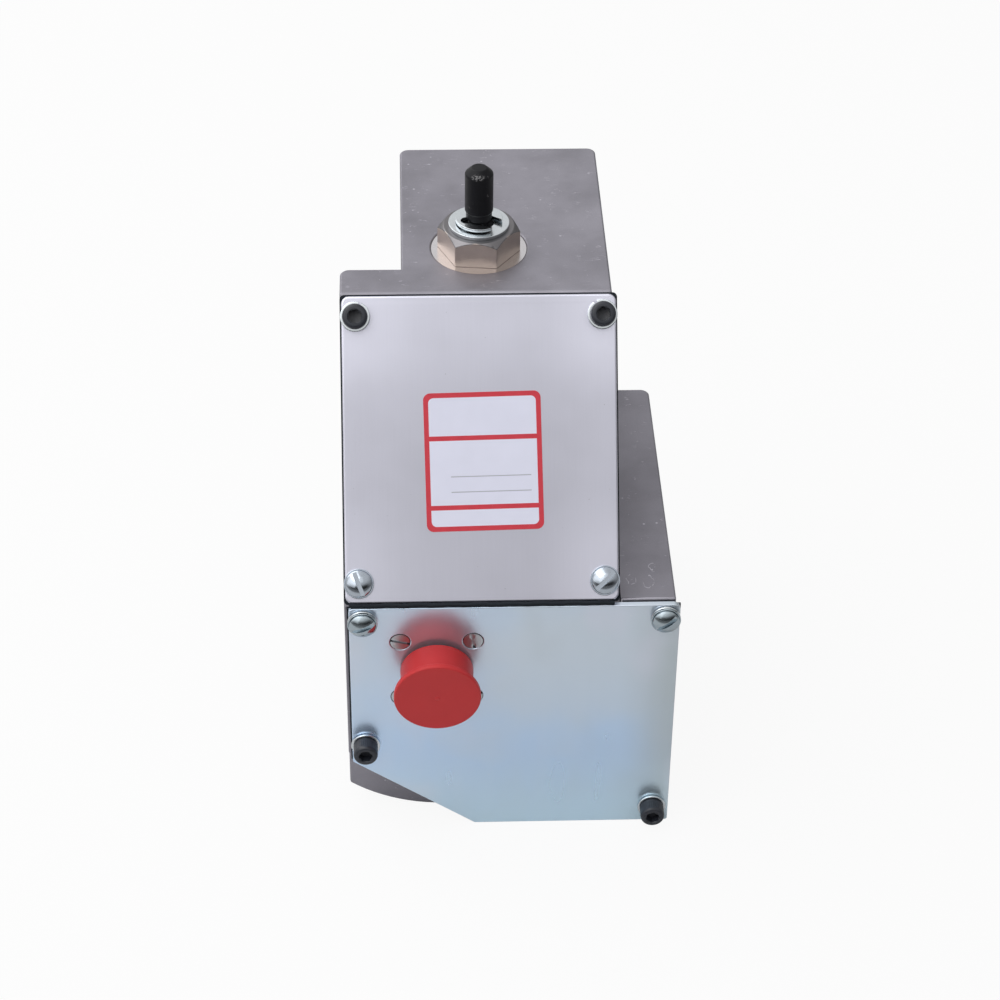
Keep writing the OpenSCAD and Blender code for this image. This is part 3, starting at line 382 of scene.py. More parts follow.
@dataclass(frozen=True)
class ZincFinish(Finish):
    """Bright zinc plate, with soft blue, lilac and straw clouds, bluer towards the bottom, greyer and
    darker towards the right edge, and painted light along the foot.
    """

    cool: Colour = (0.575, 0.745, 0.97)
    lilac: Colour = (0.74, 0.765, 0.885)
    straw: Colour = (0.50, 0.555, 0.57)
    # Colour of the painted light along the foot of the sheet.
    foot: Colour = (0.74, 0.93, 1.0)

    def dress(self, book: Book, place: Val) -> dict[str, Any]:
        """Gives tinted clouds, soft rolled bands, small specks, and painted light along the foot.

        Args:
            book: Book of the material's tree.
            place: Object coordinates in millimetres.

        Returns:
            Socket names and values.
        """
        cloud = book.noise(place, 0.020, 2.5, 0.55)
        second = book.noise(book.stretched(place, (1.0, 1.0, 0.6)), 0.031, 2.0, 0.5)
        rolled = book.noise(book.stretched(place, (0.15, 0.15, 0.012)), 1.0, 1.0, 0.4)
        specks = book.cells(place, 0.20).below(0.02, 0.06)
        specks = specks * book.noise(place, 0.17, 1.0).above(0.58, 0.64)
        height, across = book.axis(place, "Z"), book.axis(place, "X")
        # Bluer towards the bottom, besides the blue clouds.
        blue = height.below(-20.0, 45.0) * 0.75 + cloud.below(0.40, 0.62) * 0.45
        base = book.mix(blue, self.colour, self.cool)
        # Greyer and darker towards the right edge.
        edge = across.above(34.0, 54.0) * 0.75
        base = book.mix(second.above(0.54, 0.76) * 0.3 + edge, base, self.straw)
        base = book.mix(second.below(0.28, 0.46) * 0.6, base, self.lilac)
        base = book.mix((rolled - 0.35) * 0.3, base, tuple(c * 1.1 for c in self.colour))
        # Painted light: the sheet grows lighter and bluer towards its foot.
        base = book.mix(height.below(-36.0, 0.0) * 0.6, base, self.foot)
        return {
            "Base Color": book.mix(specks * 0.5, base, (0.85, 0.88, 0.90)),
            "Roughness": self.rough + (cloud - 0.5) * 0.10 + (rolled - 0.5) * 0.06,
            "Normal": bump(book, book.noise(place, 0.5, 1.0), 0.0008),
        }


@dataclass(frozen=True)
class PlatedFinish(Finish):
    """Plated or machined steel, with fine tool lines."""

    lines: tuple[float, float, float] = (3.0, 3.0, 3.0)

    def dress(self, book: Book, place: Val) -> dict[str, Any]:
        """Gives fine tool lines and soft clouds.

        Args:
            book: Book of the material's tree.
            place: Object coordinates in millimetres.

        Returns:
            Socket names and values.
        """
        cloud = book.noise(place, 0.35, 3.0)
        tool = book.noise(book.stretched(place, self.lines), 1.0, 2.0)
        share = cloud * 0.6 + tool * 0.4
        return {
            "Base Color": tint(book, self.colour, share, 0.16),
            "Roughness": self.rough + (cloud - 0.5) * 0.16 + (tool - 0.5) * 0.08,
            "Normal": bump(book, tool, 0.004),
        }


@dataclass(frozen=True)
class OxideFinish(Finish):
    """Black oxide on steel, with rubbed marks."""

    rubbed: Colour = (0.16, 0.155, 0.15)
    scuff: tuple[float, float, float] | None = None
    scuff_reach: float = 2.2

    def dress(self, book: Book, place: Val) -> dict[str, Any]:
        """Gives an oily black with grey rubbed marks.

        Args:
            book: Book of the material's tree.
            place: Object coordinates in millimetres.

        Returns:
            Socket names and values.
        """
        cloud = book.noise(place, 0.5, 3.0)
        rub = book.noise(place, 0.33, 4.0, 0.65).above(0.64, 0.74)
        rub = rub * book.noise(place, 3.0, 2.0).above(0.42, 0.6)
        if self.scuff:
            far = book.length(book.stretched(book.offset(place, self.scuff), (0.8, 0.8, 1.9)))
            worn = book.noise(book.stretched(place, (0.7, 0.7, 2.2)), 2.0, 4.0, 0.7).above(0.53, 0.6)
            rub = book.math("MAXIMUM", rub, far.below(0.8, self.scuff_reach) * worn)
        base = tint(book, self.colour, cloud, 0.3)
        return {
            "Base Color": book.mix(rub * 0.7, base, self.rubbed),
            "Roughness": self.rough + (cloud - 0.5) * 0.2,
            "Normal": bump(book, book.noise(place, 2.5, 2.0), 0.006),
        }


@dataclass(frozen=True)
class MouldedFinish(Finish):
    """Moulded plastic or rubber, with a faint skin."""

    skin: float = 0.008
    spread: float = 0.10

    def dress(self, book: Book, place: Val) -> dict[str, Any]:
        """Gives a faint moulded skin and slow changes of tone.

        Args:
            book: Book of the material's tree.
            place: Object coordinates in millimetres.

        Returns:
            Socket names and values.
        """
        slow = book.noise(place, 0.09, 2.0)
        skin = book.noise(place, 3.0, 2.0)
        return {
            "Base Color": tint(book, self.colour, slow * 0.7 + skin * 0.3, self.spread),
            "Roughness": self.rough + (slow - 0.5) * 0.12,
            "Normal": bump(book, skin, self.skin),
        }


@dataclass(frozen=True)
class TurnedFinish(Finish):
    """Faced or turned metal, with rings round an upright or a level axis."""

    centre: tuple[float, float, float] = (0.0, 0.0, 0.0)
    pitch: float = 0.35

    def dress(self, book: Book, place: Val) -> dict[str, Any]:
        """Gives cutter rings and light patches.

        Args:
            book: Book of the material's tree.
            place: Object coordinates in millimetres.

        Returns:
            Socket names and values.
        """
        radius = book.length(book.offset(place, self.centre))
        ring = book.math("SINE", radius * (2 * math.pi / self.pitch)) * 0.5 + 0.5
        cloud = book.noise(place, 0.4, 3.0)
        return {
            "Base Color": tint(book, self.colour, ring * 0.5 + cloud * 0.5, 0.14),
            "Roughness": self.rough + (cloud - 0.5) * 0.15,
            "Normal": bump(book, ring, 0.006),
        }


@dataclass(frozen=True)
class StackFinish(Finish):
    """Iron core made of sheets stacked along Y."""

    sheet: float = 0.5

    def dress(self, book: Book, place: Val) -> dict[str, Any]:
        """Gives the sheets' edges and a dull skin.

        Args:
            book: Book of the material's tree.
            place: Object coordinates in millimetres.

        Returns:
            Socket names and values.
        """
        wave = book.math("FRACT", book.axis(place, "Y") / self.sheet)
        seam = abs(wave - 0.5).above(0.36, 0.46)
        cloud = book.noise(place, 0.3, 3.0)
        base = tint(book, self.colour, cloud, 0.25)
        return {
            "Base Color": book.mix(seam * 0.7, base, tuple(c * 0.35 for c in self.colour)),
            "Roughness": self.rough + (cloud - 0.5) * 0.2,
            "Normal": bump(book, cloud * 0.2 - seam, 0.03),
        }


@dataclass(frozen=True)
class LabelFinish(Finish):
    """White label with a red frame and two red bars, read from its own UV map in millimetres."""

    red: Colour = (0.65, 0.050, 0.072)
    ink: Colour = (0.30, 0.30, 0.33)
    width: float = 36.6
    height: float = 43.2
    edge: float = 1.55
    corner: float = 1.6
    bars: tuple[float, float] = (7.4, -14.2)
    bar_half: float = 0.75
    rules: tuple[float, float] = (-4.6, -9.4)

    def dress(self, book: Book, place: Val) -> dict[str, Any]:
        """Gives the printed frame, the bars and two ruled fields.

        Args:
            book: Book of the material's tree.
            place: Object coordinates in millimetres.

        Returns:
            Socket names and values.
        """
        uv = book.add("ShaderNodeUVMap", {"uv_map": "print"}, {})
        x, y = book.axis(uv, "X") * MAP_MM, book.axis(uv, "Y") * MAP_MM
        inner_x = abs(x) - (self.width / 2 - self.edge - self.corner)
        inner_y = abs(y) - (self.height / 2 - self.edge - self.corner)
        out_x = book.math("MAXIMUM", inner_x, 0.0)
        out_y = book.math("MAXIMUM", inner_y, 0.0)
        reach = book.math("SQRT", out_x * out_x + out_y * out_y)
        bars = reach.above(self.corner - 0.06, self.corner + 0.06)
        for middle in self.bars:
            bar = abs(y - middle).below(self.bar_half - 0.05, self.bar_half + 0.05)
            bars = book.math("MAXIMUM", bars, bar)
        first, second = (abs(y - middle).below(0.10, 0.18) for middle in self.rules)
        rules = book.math("MAXIMUM", first, second) * abs(x - 2.2).below(12.4, 12.6)
        cloud = book.noise(place, 0.12, 2.0)
        paper = tint(book, self.colour, cloud, 0.04)
        paper = book.mix(rules * 0.75, paper, self.ink)
        print_red = tint(book, self.red, book.noise(place, 0.4, 3.0), 0.10)
        return {
            "Base Color": book.mix(bars, paper, print_red),
            "Roughness": self.rough + (cloud - 0.5) * 0.1,
            "Normal": bump(book, cloud, 0.01),
        }


SLOPE_TURN = (-(math.pi / 2 - LEAN), 0.0, 0.0)
SCRIBED = (((38.6, -134.5, 57.8), 1.3), ((45.6, -128.0, 57.8), 1.0), ((44.0, -135.5, 57.8), 1.7))
CAST = CastFinish("cast_aluminium", (0.268, 0.260, 0.292), 0.50, loops=SCRIBED)
FACED = TurnedFinish("milled_face", (0.46, 0.46, 0.47), 0.34, pitch=0.9)
SPOT = TurnedFinish(
    "spot_face", (0.63, 0.61, 0.625), 0.22, centre=(*STOP_AT, SPOT_Z - PILOT_H), pitch=0.4
)
COVER = SheetFinish("satin_cover", (0.575, 0.575, 0.654), 0.36, turn=SLOPE_TURN)
ZINC = ZincFinish("zinc_cover", (0.67, 0.757, 0.85), 0.29, 0.82)
BRIGHT = PlatedFinish("zinc_fastener", (0.62, 0.655, 0.68), 0.19)
# Darker copies of the zinc fastener finish for the pan heads: painted shade for the dark reflections on
# their domes, deeper on the lower pair.
UPPER_PAN_SHADE = PlatedFinish("polished_fastener", (0.45, 0.495, 0.555), 0.16)
LOWER_PAN_SHADE = PlatedFinish("dimmed_fastener", (0.40, 0.46, 0.50), 0.20)
BLACK = OxideFinish("black_oxide", (0.024, 0.027, 0.036), 0.34, metal=0.0, specular=0.42)
SHAFT = OxideFinish(
    "black_shaft", (0.007, 0.007, 0.009), 0.42, 0.0, specular=0.16, rubbed=(0.50, 0.49, 0.50),
    scuff=(-8.4, -65.3, 163.7),
)
GASKET = MouldedFinish(
    "gasket", (0.014, 0.018, 0.024), 0.62, 0.0, specular=0.15, skin=0.03, spread=0.3
)
LABEL = LabelFinish("label", (0.80, 0.81, 0.95), 0.34, 0.0, specular=0.3)
CAP_RED = MouldedFinish("cap_red", (0.56, 0.036, 0.039), 0.40, 0.0, specular=0.25)
NICKEL = PlatedFinish("nickel_gland", (0.55, 0.465, 0.405), 0.38, lines=(0.6, 0.6, 5.0))
# Darker copy of the nickel finish for the gland's upward faces: painted shade.
GLAND_TOP_SHADE = PlatedFinish("gland_chamfer", (0.185, 0.178, 0.185), 0.34)
FLUSH = PlatedFinish("flush_screw", (0.52, 0.56, 0.59), 0.31)
STEEL = PlatedFinish("ground_steel", (0.44, 0.45, 0.47), 0.28)
IRON = PlatedFinish("plain_iron", (0.22, 0.225, 0.24), 0.42)
STACK = StackFinish("sheet_core", (0.20, 0.205, 0.22), 0.45)
COPPER = PlatedFinish("enamelled_copper", (0.55, 0.20, 0.075), 0.25)
BRASS = PlatedFinish("contact_brass", (0.72, 0.52, 0.22), 0.22)
MOULDED = MouldedFinish("black_moulding", (0.02, 0.02, 0.022), 0.48, 0.0)
SHELL = PlatedFinish("dull_shell", (0.16, 0.17, 0.155), 0.36)
SEAL = MouldedFinish("seal_rubber", (0.016, 0.016, 0.017), 0.5, 0.0)
LEAD = MouldedFinish("lead_skin", (0.48, 0.035, 0.03), 0.42, 0.0)


def front_place() -> Matrix:
    """Place of the front rim: x across, y up, z out of the front, from the base."""
    turn = Matrix(((1, 0, 0), (0, 0, -1), (0, 1, 0))).to_4x4()
    return Matrix.Translation(Vector((0, FRONT_Y, -PILOT_H)) * MM) @ turn


def slope_place() -> Matrix:
    """Place of the sloped front: x across, y up the slope, z out of it, from its foot."""
    turn = Matrix.Rotation(math.pi / 2 - LEAN, 4, "X")
    return Matrix.Translation(Vector((0, FRONT_Y, SLOPE_FOOT - PILOT_H)) * MM) @ turn


def upright_place(x: float, y: float) -> Matrix:
    """Place of an upright axis at a point of the plan, from the base."""
    return Matrix.Translation(Vector((x, y, -PILOT_H)) * MM)


def linked(name: str, data: bpy.types.ID) -> bpy.types.Object:
    """Makes an object and puts it in the scene.

    Args:
        name: Object's name.
        data: Its mesh, curve, camera or lamp.

    Returns:
        The object.
    """
    made = bpy.data.objects.new(name, data)
    bpy.context.scene.collection.objects.link(made)
    return made


def piece(name: str, mesh: bpy.types.Mesh, *finishes: Finish) -> bpy.types.Object:
    """Makes an object of a finished mesh.

    Args:
        name: Piece's name.
        mesh: Mesh in the row frame.
        finishes: Finishes of its material slots.

    Returns:
        The object.
    """
    mesh.name = name
    mesh.materials.clear()
    for finish in finishes:
        mesh.materials.append(finish.material())
    return linked(name, mesh)


def settle(
    made: bpy.types.Object, body: Body, nodes: Sequence[str] = ()
) -> bpy.types.Object:
    """Puts a piece on its body, in place of CAD nodes.

    Args:
        made: Piece.
        body: Body that it rides on.
        nodes: CAD nodes that it stands for.

    Returns:
        The piece.
    """
    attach(made, body.value)
    if nodes:
        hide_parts(*nodes)
    LOG.info("%s rides on %s, %d faces", made.name, body.value, len(made.data.polygons))
    return made


def baked(made: bpy.types.Object) -> bpy.types.Mesh:
    """Turns an object with its modifiers into a plain mesh and removes the object.

    Args:
        made: Object with live modifiers.

    Returns:
        The plain mesh.
    """
    graph = bpy.context.evaluated_depsgraph_get()
    mesh = bpy.data.meshes.new_from_object(
        made.evaluated_get(graph), preserve_all_data_layers=True, depsgraph=graph
    )
    old = made.data
    bpy.data.objects.remove(made)
    if isinstance(old, bpy.types.Mesh):
        bpy.data.meshes.remove(old)
    elif isinstance(old, bpy.types.Curve):
        bpy.data.curves.remove(old)
    return mesh


def shaded(mesh: bpy.types.Mesh, angle: float = 34.0) -> bpy.types.Mesh:
    """Smooths a mesh's shading up to an angle, and keeps its flat faces flat.

    Args:
        mesh: Mesh.
        angle: Edges sharper than this stay sharp, in degrees.

    Returns:
        The shaded mesh.
    """
    mesh.shade_smooth()
    mesh.set_sharp_from_angle(angle=math.radians(angle))
    made = linked("shading", mesh)
    weigh = made.modifiers.new("weigh", "WEIGHTED_NORMAL")
    weigh.keep_sharp = True
    weigh.weight = 100
    return baked(made)


def ended(work: bmesh.types.BMesh) -> bpy.types.Mesh:
    """Ends work on a mesh and hands it over.

    Args:
        work: Mesh under work.

    Returns:
        The mesh.
    """
    mesh = bpy.data.meshes.new("work")
    work.to_mesh(mesh)
    work.free()
    return mesh


def mesh_of(work: bmesh.types.BMesh, place: Matrix | None = None) -> bpy.types.Mesh:
    """Ends work on a mesh, puts it in its place and turns its faces outwards.

    Args:
        work: Mesh under work, in millimetres where a place is given.
        place: Place in the row frame.

    Returns:
        The mesh.
    """
    if place is not None:
        bmesh.ops.scale(work, vec=(MM, MM, MM), verts=work.verts)
        work.transform(place)
    bmesh.ops.remove_doubles(work, verts=work.verts, dist=1e-7)
    bmesh.ops.recalc_face_normals(work, faces=work.faces)
    return ended(work)


def lathe(profile: Sequence[tuple[float, float]], steps: int = 64) -> bmesh.types.BMesh:
    """Turns a closed profile round the Z axis.

    Args:
        profile: Radius and height of each point; points on the axis have radius 0.
        steps: Steps round the axis.

    Returns:
        The mesh under work, in millimetres.
    """
    work = bmesh.new()
    rings: list[list[bmesh.types.BMVert]] = []
    for radius, height in profile:
        circle = ring_points(0, 0, radius, steps) if radius > 1e-6 else [(0, 0)]
        rings.append([work.verts.new((x, y, height)) for x, y in circle])
    closed = profile[0][0] > 1e-6 and profile[-1][0] > 1e-6
    pairs = list(zip(rings, rings[1:])) + ([(rings[-1], rings[0])] if closed else [])
    for low, high in pairs:
        for k in range(steps):
            j = (k + 1) % steps
            corners = [low[k % len(low)], low[j % len(low)], high[j % len(high)], high[k % len(high)]]
            once = list(dict.fromkeys(corners))
            if len(once) > 2:
                work.faces.new(once)
    return work


def rounded(
    points: Sequence[tuple[float, float]], radii: Sequence[float], steps: int = 5
) -> list[tuple[float, float]]:
    """Rounds the corners of a line of points.

    Args:
        points: Corners.
        radii: Radius at each corner, 0 to keep it.
        steps: Steps in each arc.

    Returns:
        The rounded line.
    """
    line: list[tuple[float, float]] = []
    count = len(points)
    for i, radius in enumerate(radii):
        here = Vector(points[i])
        if radius <= 0:
            line.append((here.x, here.y))
            continue
        before = (Vector(points[(i - 1) % count]) - here).normalized()
        after = (Vector(points[(i + 1) % count]) - here).normalized()
        half = before.angle(after) / 2
        reach = radius / math.tan(half)
        centre = here + (before + after).normalized() * (radius / math.sin(half))
        start = here + before * reach - centre
        end = here + after * reach - centre
        sweep = math.atan2(start.x * end.y - start.y * end.x, start.dot(end))
        for k in range(steps + 1):
            cos, sin = math.cos(sweep * k / steps), math.sin(sweep * k / steps)
            x, y = start.x * cos - start.y * sin, start.x * sin + start.y * cos
            line.append((centre.x + x, centre.y + y))
    return line


def ring_points(x: float, y: float, radius: float, steps: int = 40) -> list[tuple[float, float]]:
    """Points of a circle about a centre."""
    turns = [2 * math.pi * k / steps for k in range(steps)]
    return [(x + radius * math.cos(t), y + radius * math.sin(t)) for t in turns]


def plate(
    outlines: Sequence[Sequence[tuple[float, float]]],
    low: float,
    high: float,
    edge: float,
    place: Matrix,
) -> bpy.types.Mesh:
    """Makes a flat plate with rounded edges from its outline and its holes.

    Args:
        outlines: Outline first, then holes, in millimetres.
        low: Height of its underside.
        high: Height of its top.
        edge: Radius of its edges.
        place: Place of its plane.

    Returns:
        The mesh in the row frame.
    """
    curve = bpy.data.curves.new("plate", "CURVE")
    curve.dimensions = "2D"
    curve.fill_mode = "BOTH"
    curve.extrude = (high - low) / 2 - edge
    curve.bevel_depth = edge
    curve.bevel_resolution = 3
    curve.offset = -edge
    for outline in outlines:
        spline = curve.splines.new("POLY")
        spline.points.add(len(outline) - 1)
        for point, (x, y) in zip(spline.points, outline):
            point.co = (x, y, 0, 1)
        spline.use_cyclic_u = True
    work = bmesh.new()
    flat = baked(linked("plate", curve))
    work.from_mesh(flat)
    bpy.data.meshes.remove(flat)
    bmesh.ops.remove_doubles(work, verts=work.verts, dist=1e-4)
    bmesh.ops.translate(work, vec=(0, 0, (low + high) / 2), verts=work.verts)
    return shaded(mesh_of(work, place))


def cut(work: bpy.types.Mesh, tool: bpy.types.Mesh) -> bpy.types.Mesh:
    """Cuts a tool's shape out of a mesh.

    Args:
        work: Mesh to cut.
        tool: Mesh of the tool.

    Returns:
        The cut mesh.
    """
    made, cutter = linked("cut", work), linked("cutter", tool)
    change = made.modifiers.new("cut", "BOOLEAN")
    change.operation = "DIFFERENCE"
    change.solver = "EXACT"
    change.object = cutter
    mesh = baked(made)
    bpy.data.objects.remove(cutter)
    bpy.data.meshes.remove(tool)
    return mesh


def prism(outline: Sequence[tuple[float, float]], low: float, high: float) -> bmesh.types.BMesh:
    """Extrudes an outline upward.

    Args:
        outline: Points.
        low: Lower height.
        high: Upper height.

    Returns:
        The mesh under work.
    """
    work = bmesh.new()
    rings = [[work.verts.new((x, y, z)) for x, y in outline] for z in (low, high)]
    count = len(outline)
    work.faces.new(rings[0][::-1])
    work.faces.new(rings[1])
    for k in range(count):
        j = (k + 1) % count
        work.faces.new((rings[0][k], rings[0][j], rings[1][j], rings[1][k]))
    return work


def eased(mesh: bpy.types.Mesh, width: float) -> bpy.types.Mesh:
    """Eases a mesh's sharp edges with a small bevel.

    Args:
        mesh: Mesh in millimetres.
        width: Width of the bevel.

    Returns:
        The eased mesh.
    """
    made = linked("eased", mesh)
    bevel = made.modifiers.new("bevel", "BEVEL")
    bevel.width = width
    bevel.segments = 2
    bevel.limit_method = "ANGLE"
    bevel.angle_limit = EASED_ANGLE
    bevel.use_clamp_overlap = True
    return baked(made)


def softened(node: str, width: float) -> bpy.types.Mesh:
    """Copies a CAD node's mesh and rounds the edges that face none of its own walls.

    Args:
        node: CAD node.
        width: Width of the rounding, in millimetres.

    Returns:
        The mesh in the row frame.
    """
    work = bmesh.new()
    work.from_mesh(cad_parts[node].data)
    bmesh.ops.remove_doubles(work, verts=work.verts, dist=2e-6)
    tree = BVHTree.FromBMesh(work)
    bmesh.ops.dissolve_limit(work, angle_limit=FLAT_ANGLE, verts=work.verts, edges=work.edges)
    chosen = []
    for edge in work.edges:
        if not edge.is_manifold or edge.calc_face_angle_signed(0.0) < ROUNDED_ANGLE:
            continue
        way = sum((face.normal for face in edge.link_faces), Vector()).normalized()
        middle = (edge.verts[0].co + edge.verts[1].co) / 2
        if tree.ray_cast(middle + way * 1e-5, way)[0] is None:
            chosen.append(edge)
    bmesh.ops.bevel(
        work, geom=chosen, offset=width * MM, offset_type="OFFSET", segments=3, profile=0.5,
        affect="EDGES", clamp_overlap=False,
    )
    return shaded(ended(work))


def carry_over(*rows: tuple[str, str, float, Finish, Body, str]) -> None:
    """Dresses rounded copies of CAD nodes: name, node, rounding, finish, body and slot of each."""
    for name, node, width, finish, body, slot in rows:
        settle(piece(name, softened(node, width), finish), body, [node])


class Tree:
    """A Geometry Nodes tree, built once and used on any object."""

    def __init__(self, name: str, inputs: Sequence[tuple[str, str]]) -> None:
        """Makes the tree with its named inputs.

        Args:
            name: Tree's name.
            inputs: Names and socket types, beside its geometry and its finish.
        """
        self.group = bpy.data.node_groups.new(name, "GeometryNodeTree")
        face = self.group.interface
        face.new_socket("Geometry", in_out="INPUT", socket_type="NodeSocketGeometry")
        self.keys = {
            label: face.new_socket(label, in_out="INPUT", socket_type=kind).identifier
            for label, kind in (*inputs, ("Finish", "NodeSocketMaterial"))
        }
        face.new_socket("Geometry", in_out="OUTPUT", socket_type="NodeSocketGeometry")
        self.book = Book(self.group)
        self.source = self.group.nodes.new("NodeGroupInput")

    def given(self, label: str) -> Val:
        """Value of a named input."""
        return Val(self.book, self.source.outputs[label])

    def box_loop(self, width: Val, height: Val, corner: Val, steps: int) -> Val:
        """Adds a rectangle with rounded corners.

        Args:
            width: Its width.
            height: Its height.
            corner: Radius of its corners.
            steps: Steps in each corner.

        Returns:
            The loop.
        """
        kind, sockets = "GeometryNodeCurvePrimitiveQuadrilateral", {"Width": width, "Height": height}
        loop = self.book.add(kind, {"mode": "RECTANGLE"}, sockets)
        sockets = {"Curve": loop, "Radius": corner, "Count": steps}
        return self.book.add("GeometryNodeFilletCurve", {"mode": "POLY"}, sockets)

    def round_loop(self, sides: Any, radius: Val) -> Val:
        """Adds a circle with a number of sides."""
        sockets = {"Resolution": sides, "Radius": radius}
        return self.book.add("GeometryNodeCurvePrimitiveCircle", {"mode": "RADIUS"}, sockets)

    def close(self, geometry: Val) -> None:
        """Ends the tree: realizes its instances and gives them their finish.

        Args:
            geometry: Geometry to hand out.
        """
        real = self.book.add("GeometryNodeRealizeInstances", {}, {"Geometry": geometry})
        sockets = {"Geometry": real, "Material": self.given("Finish")}
        done = self.book.add("GeometryNodeSetMaterial", {}, sockets)
        self.book.add("NodeGroupOutput", {}, {"Geometry": done})

    def run(self, data: bpy.types.ID, values: dict[str, Any]) -> bpy.types.Mesh:
        """Runs the tree on a mesh or curve and hands back a plain mesh.

        Args:
            data: Mesh or curve.
            values: Values of the named inputs.

        Returns:
            The plain mesh.
        """
        made = bpy.data.objects.new("tree", data)
        change = made.modifiers.new("tree", "NODES")
        change.node_group = self.group
        for label, value in values.items():
            change[self.keys[label]] = value
        bpy.context.scene.collection.objects.link(made)
        return baked(made)


def place_inputs(count: int) -> list[tuple[str, str]]:
    """Names and socket types of the inputs for a number of places."""
    kinds = (("Place", "NodeSocketVector"), ("Turn", "NodeSocketVector"))
    return [(f"{label} {i}", kind) for i in range(count) for label, kind in kinds]


def spread_out(tree: Tree, shape: Val, count: int) -> Val:
    """Puts a copy of a shape at each of the tree's places.

    Args:
        tree: Tree with the inputs of place_inputs.
        shape: Geometry to copy.
        count: Number of places.

    Returns:
        The instances.
    """
    book = tree.book
    index = book.add("GeometryNodeInputIndex", {}, {})
    chosen = {}
    for label in ("Place", "Turn"):
        sockets: dict[Any, Any] = {0: index}
        sockets.update({i + 1: tree.given(f"{label} {i}") for i in range(count)})
        settings = {"data_type": "VECTOR", "items": count}
        chosen[label] = book.add("GeometryNodeIndexSwitch", settings, sockets)
    points = book.add("GeometryNodePoints", {}, {"Count": count, "Position": chosen["Place"]})
    turn = book.add("FunctionNodeEulerToRotation", {}, {0: chosen["Turn"]})
    sockets = {"Points": points, "Instance": shape, "Rotation": turn}
    return book.add("GeometryNodeInstanceOnPoints", {}, sockets)


def copies_tree(count: int) -> Tree:
    """Tree that puts copies of its object at a number of places.

    Args:
        count: Number of places.

    Returns:
        The tree.
    """
    tree = Tree(f"copies_{count}", place_inputs(count))
    tree.close(spread_out(tree, tree.given("Geometry"), count))
    return tree


def split_ring_tree(count: int) -> Tree:
    """Tree that makes split spring washers at a number of places.

    Args:
        count: Number of places.

    Returns:
        The tree.
    """
    labels = ("Mean radius", "Width", "Thickness", "Gap", "Rise")
    sizes = [(label, "NodeSocketFloat") for label in labels]
    tree = Tree("split_rings", [*sizes, *place_inputs(count)])
    book, gap = tree.book, tree.given("Gap")
    sockets = {
        "Resolution": 49, "Radius": tree.given("Mean radius"), "Start Angle": gap,
        "Sweep Angle": 2 * math.pi - gap * 2.0,
    }
    arc = book.add("GeometryNodeCurveArc", {"mode": "RADIUS"}, sockets)
    along = book.add("GeometryNodeSplineParameter", {}, {}, "Factor")
    lift = book.add("ShaderNodeCombineXYZ", {}, {"Z": (along - 0.5) * tree.given("Rise")})
    coil = book.add("GeometryNodeSetPosition", {}, {"Geometry": arc, "Offset": lift})
    coil = book.add("GeometryNodeSetCurveNormal", {"mode": "Z_UP"}, {"Curve": coil})
    width = tree.given("Width")
    section = tree.box_loop(width, tree.given("Thickness"), width * 0.14, 2)
    sockets = {"Curve": coil, "Profile Curve": section, "Fill Caps": True}
    ring = book.add("GeometryNodeCurveToMesh", {}, sockets)
    tree.close(spread_out(tree, ring, count))
    return tree


def wire_tree() -> Tree:
    """Tree that makes a round wire along the object's own curve.

    Returns:
        The tree.
    """
    tree = Tree("round_wire", [("Radius", "NodeSocketFloat"), ("Sides", "NodeSocketInt")])
    section = tree.round_loop(tree.given("Sides"), tree.given("Radius"))
    sockets = {"Curve": tree.given("Geometry"), "Profile Curve": section, "Fill Caps": True}
    wire = tree.book.add("GeometryNodeCurveToMesh", {}, sockets)
    tree.close(tree.book.add("GeometryNodeSetShadeSmooth", {}, {"Geometry": wire}))
    return tree


def winding_tree() -> Tree:
    """Tree that winds loops of wire round two square legs.

    Returns:
        The tree.
    """
    labels = ("Width", "Depth", "Corner", "Wire radius", "Pitch")
    sizes = [*((label, "NodeSocketFloat") for label in labels), ("Turns", "NodeSocketInt")]
    tree = Tree("windings", [*sizes, *place_inputs(2)])
    book = tree.book
    loop = tree.box_loop(tree.given("Width"), tree.given("Depth"), tree.given("Corner"), 6)
    section = tree.round_loop(8, tree.given("Wire radius"))
    turn = book.add("GeometryNodeCurveToMesh", {}, {"Curve": loop, "Profile Curve": section})
    step = book.add("ShaderNodeCombineXYZ", {}, {"Z": tree.given("Pitch")})
    sockets = {"Count": tree.given("Turns"), "Offset": step}
    line = book.add("GeometryNodeMeshLine", {"mode": "OFFSET"}, sockets)
    stack = book.add("GeometryNodeInstanceOnPoints", {}, {"Points": line, "Instance": turn})
    smooth = book.add("GeometryNodeRealizeInstances", {}, {"Geometry": stack})
    smooth = book.add("GeometryNodeSetShadeSmooth", {}, {"Geometry": smooth})
    tree.close(spread_out(tree, smooth, 2))
    return tree


def path_curve(points: Sequence[Point], smooth: bool) -> bpy.types.Curve:
    """Makes a curve through points.

    Args:
        points: Points in the row frame, in metres.
        smooth: Whether the curve rounds its corners.

    Returns:
        The curve.
    """
    curve = bpy.data.curves.new("path", "CURVE")
    curve.dimensions = "3D"
    spline = curve.splines.new("NURBS" if smooth else "POLY")
    spline.points.add(len(points) - 1)
    for point, place in zip(spline.points, points):
        point.co = (*place, 1)
    if smooth:
        spline.order_u = 4
        spline.use_endpoint_u = True
        spline.resolution_u = 10
    return curve


def in_row(points: Sequence[Vector]) -> list[Vector]:
    """Takes points in millimetres, measured from the base, to metres in the row frame."""
    return [(point - Vector((0, 0, PILOT_H))) * MM for point in points]


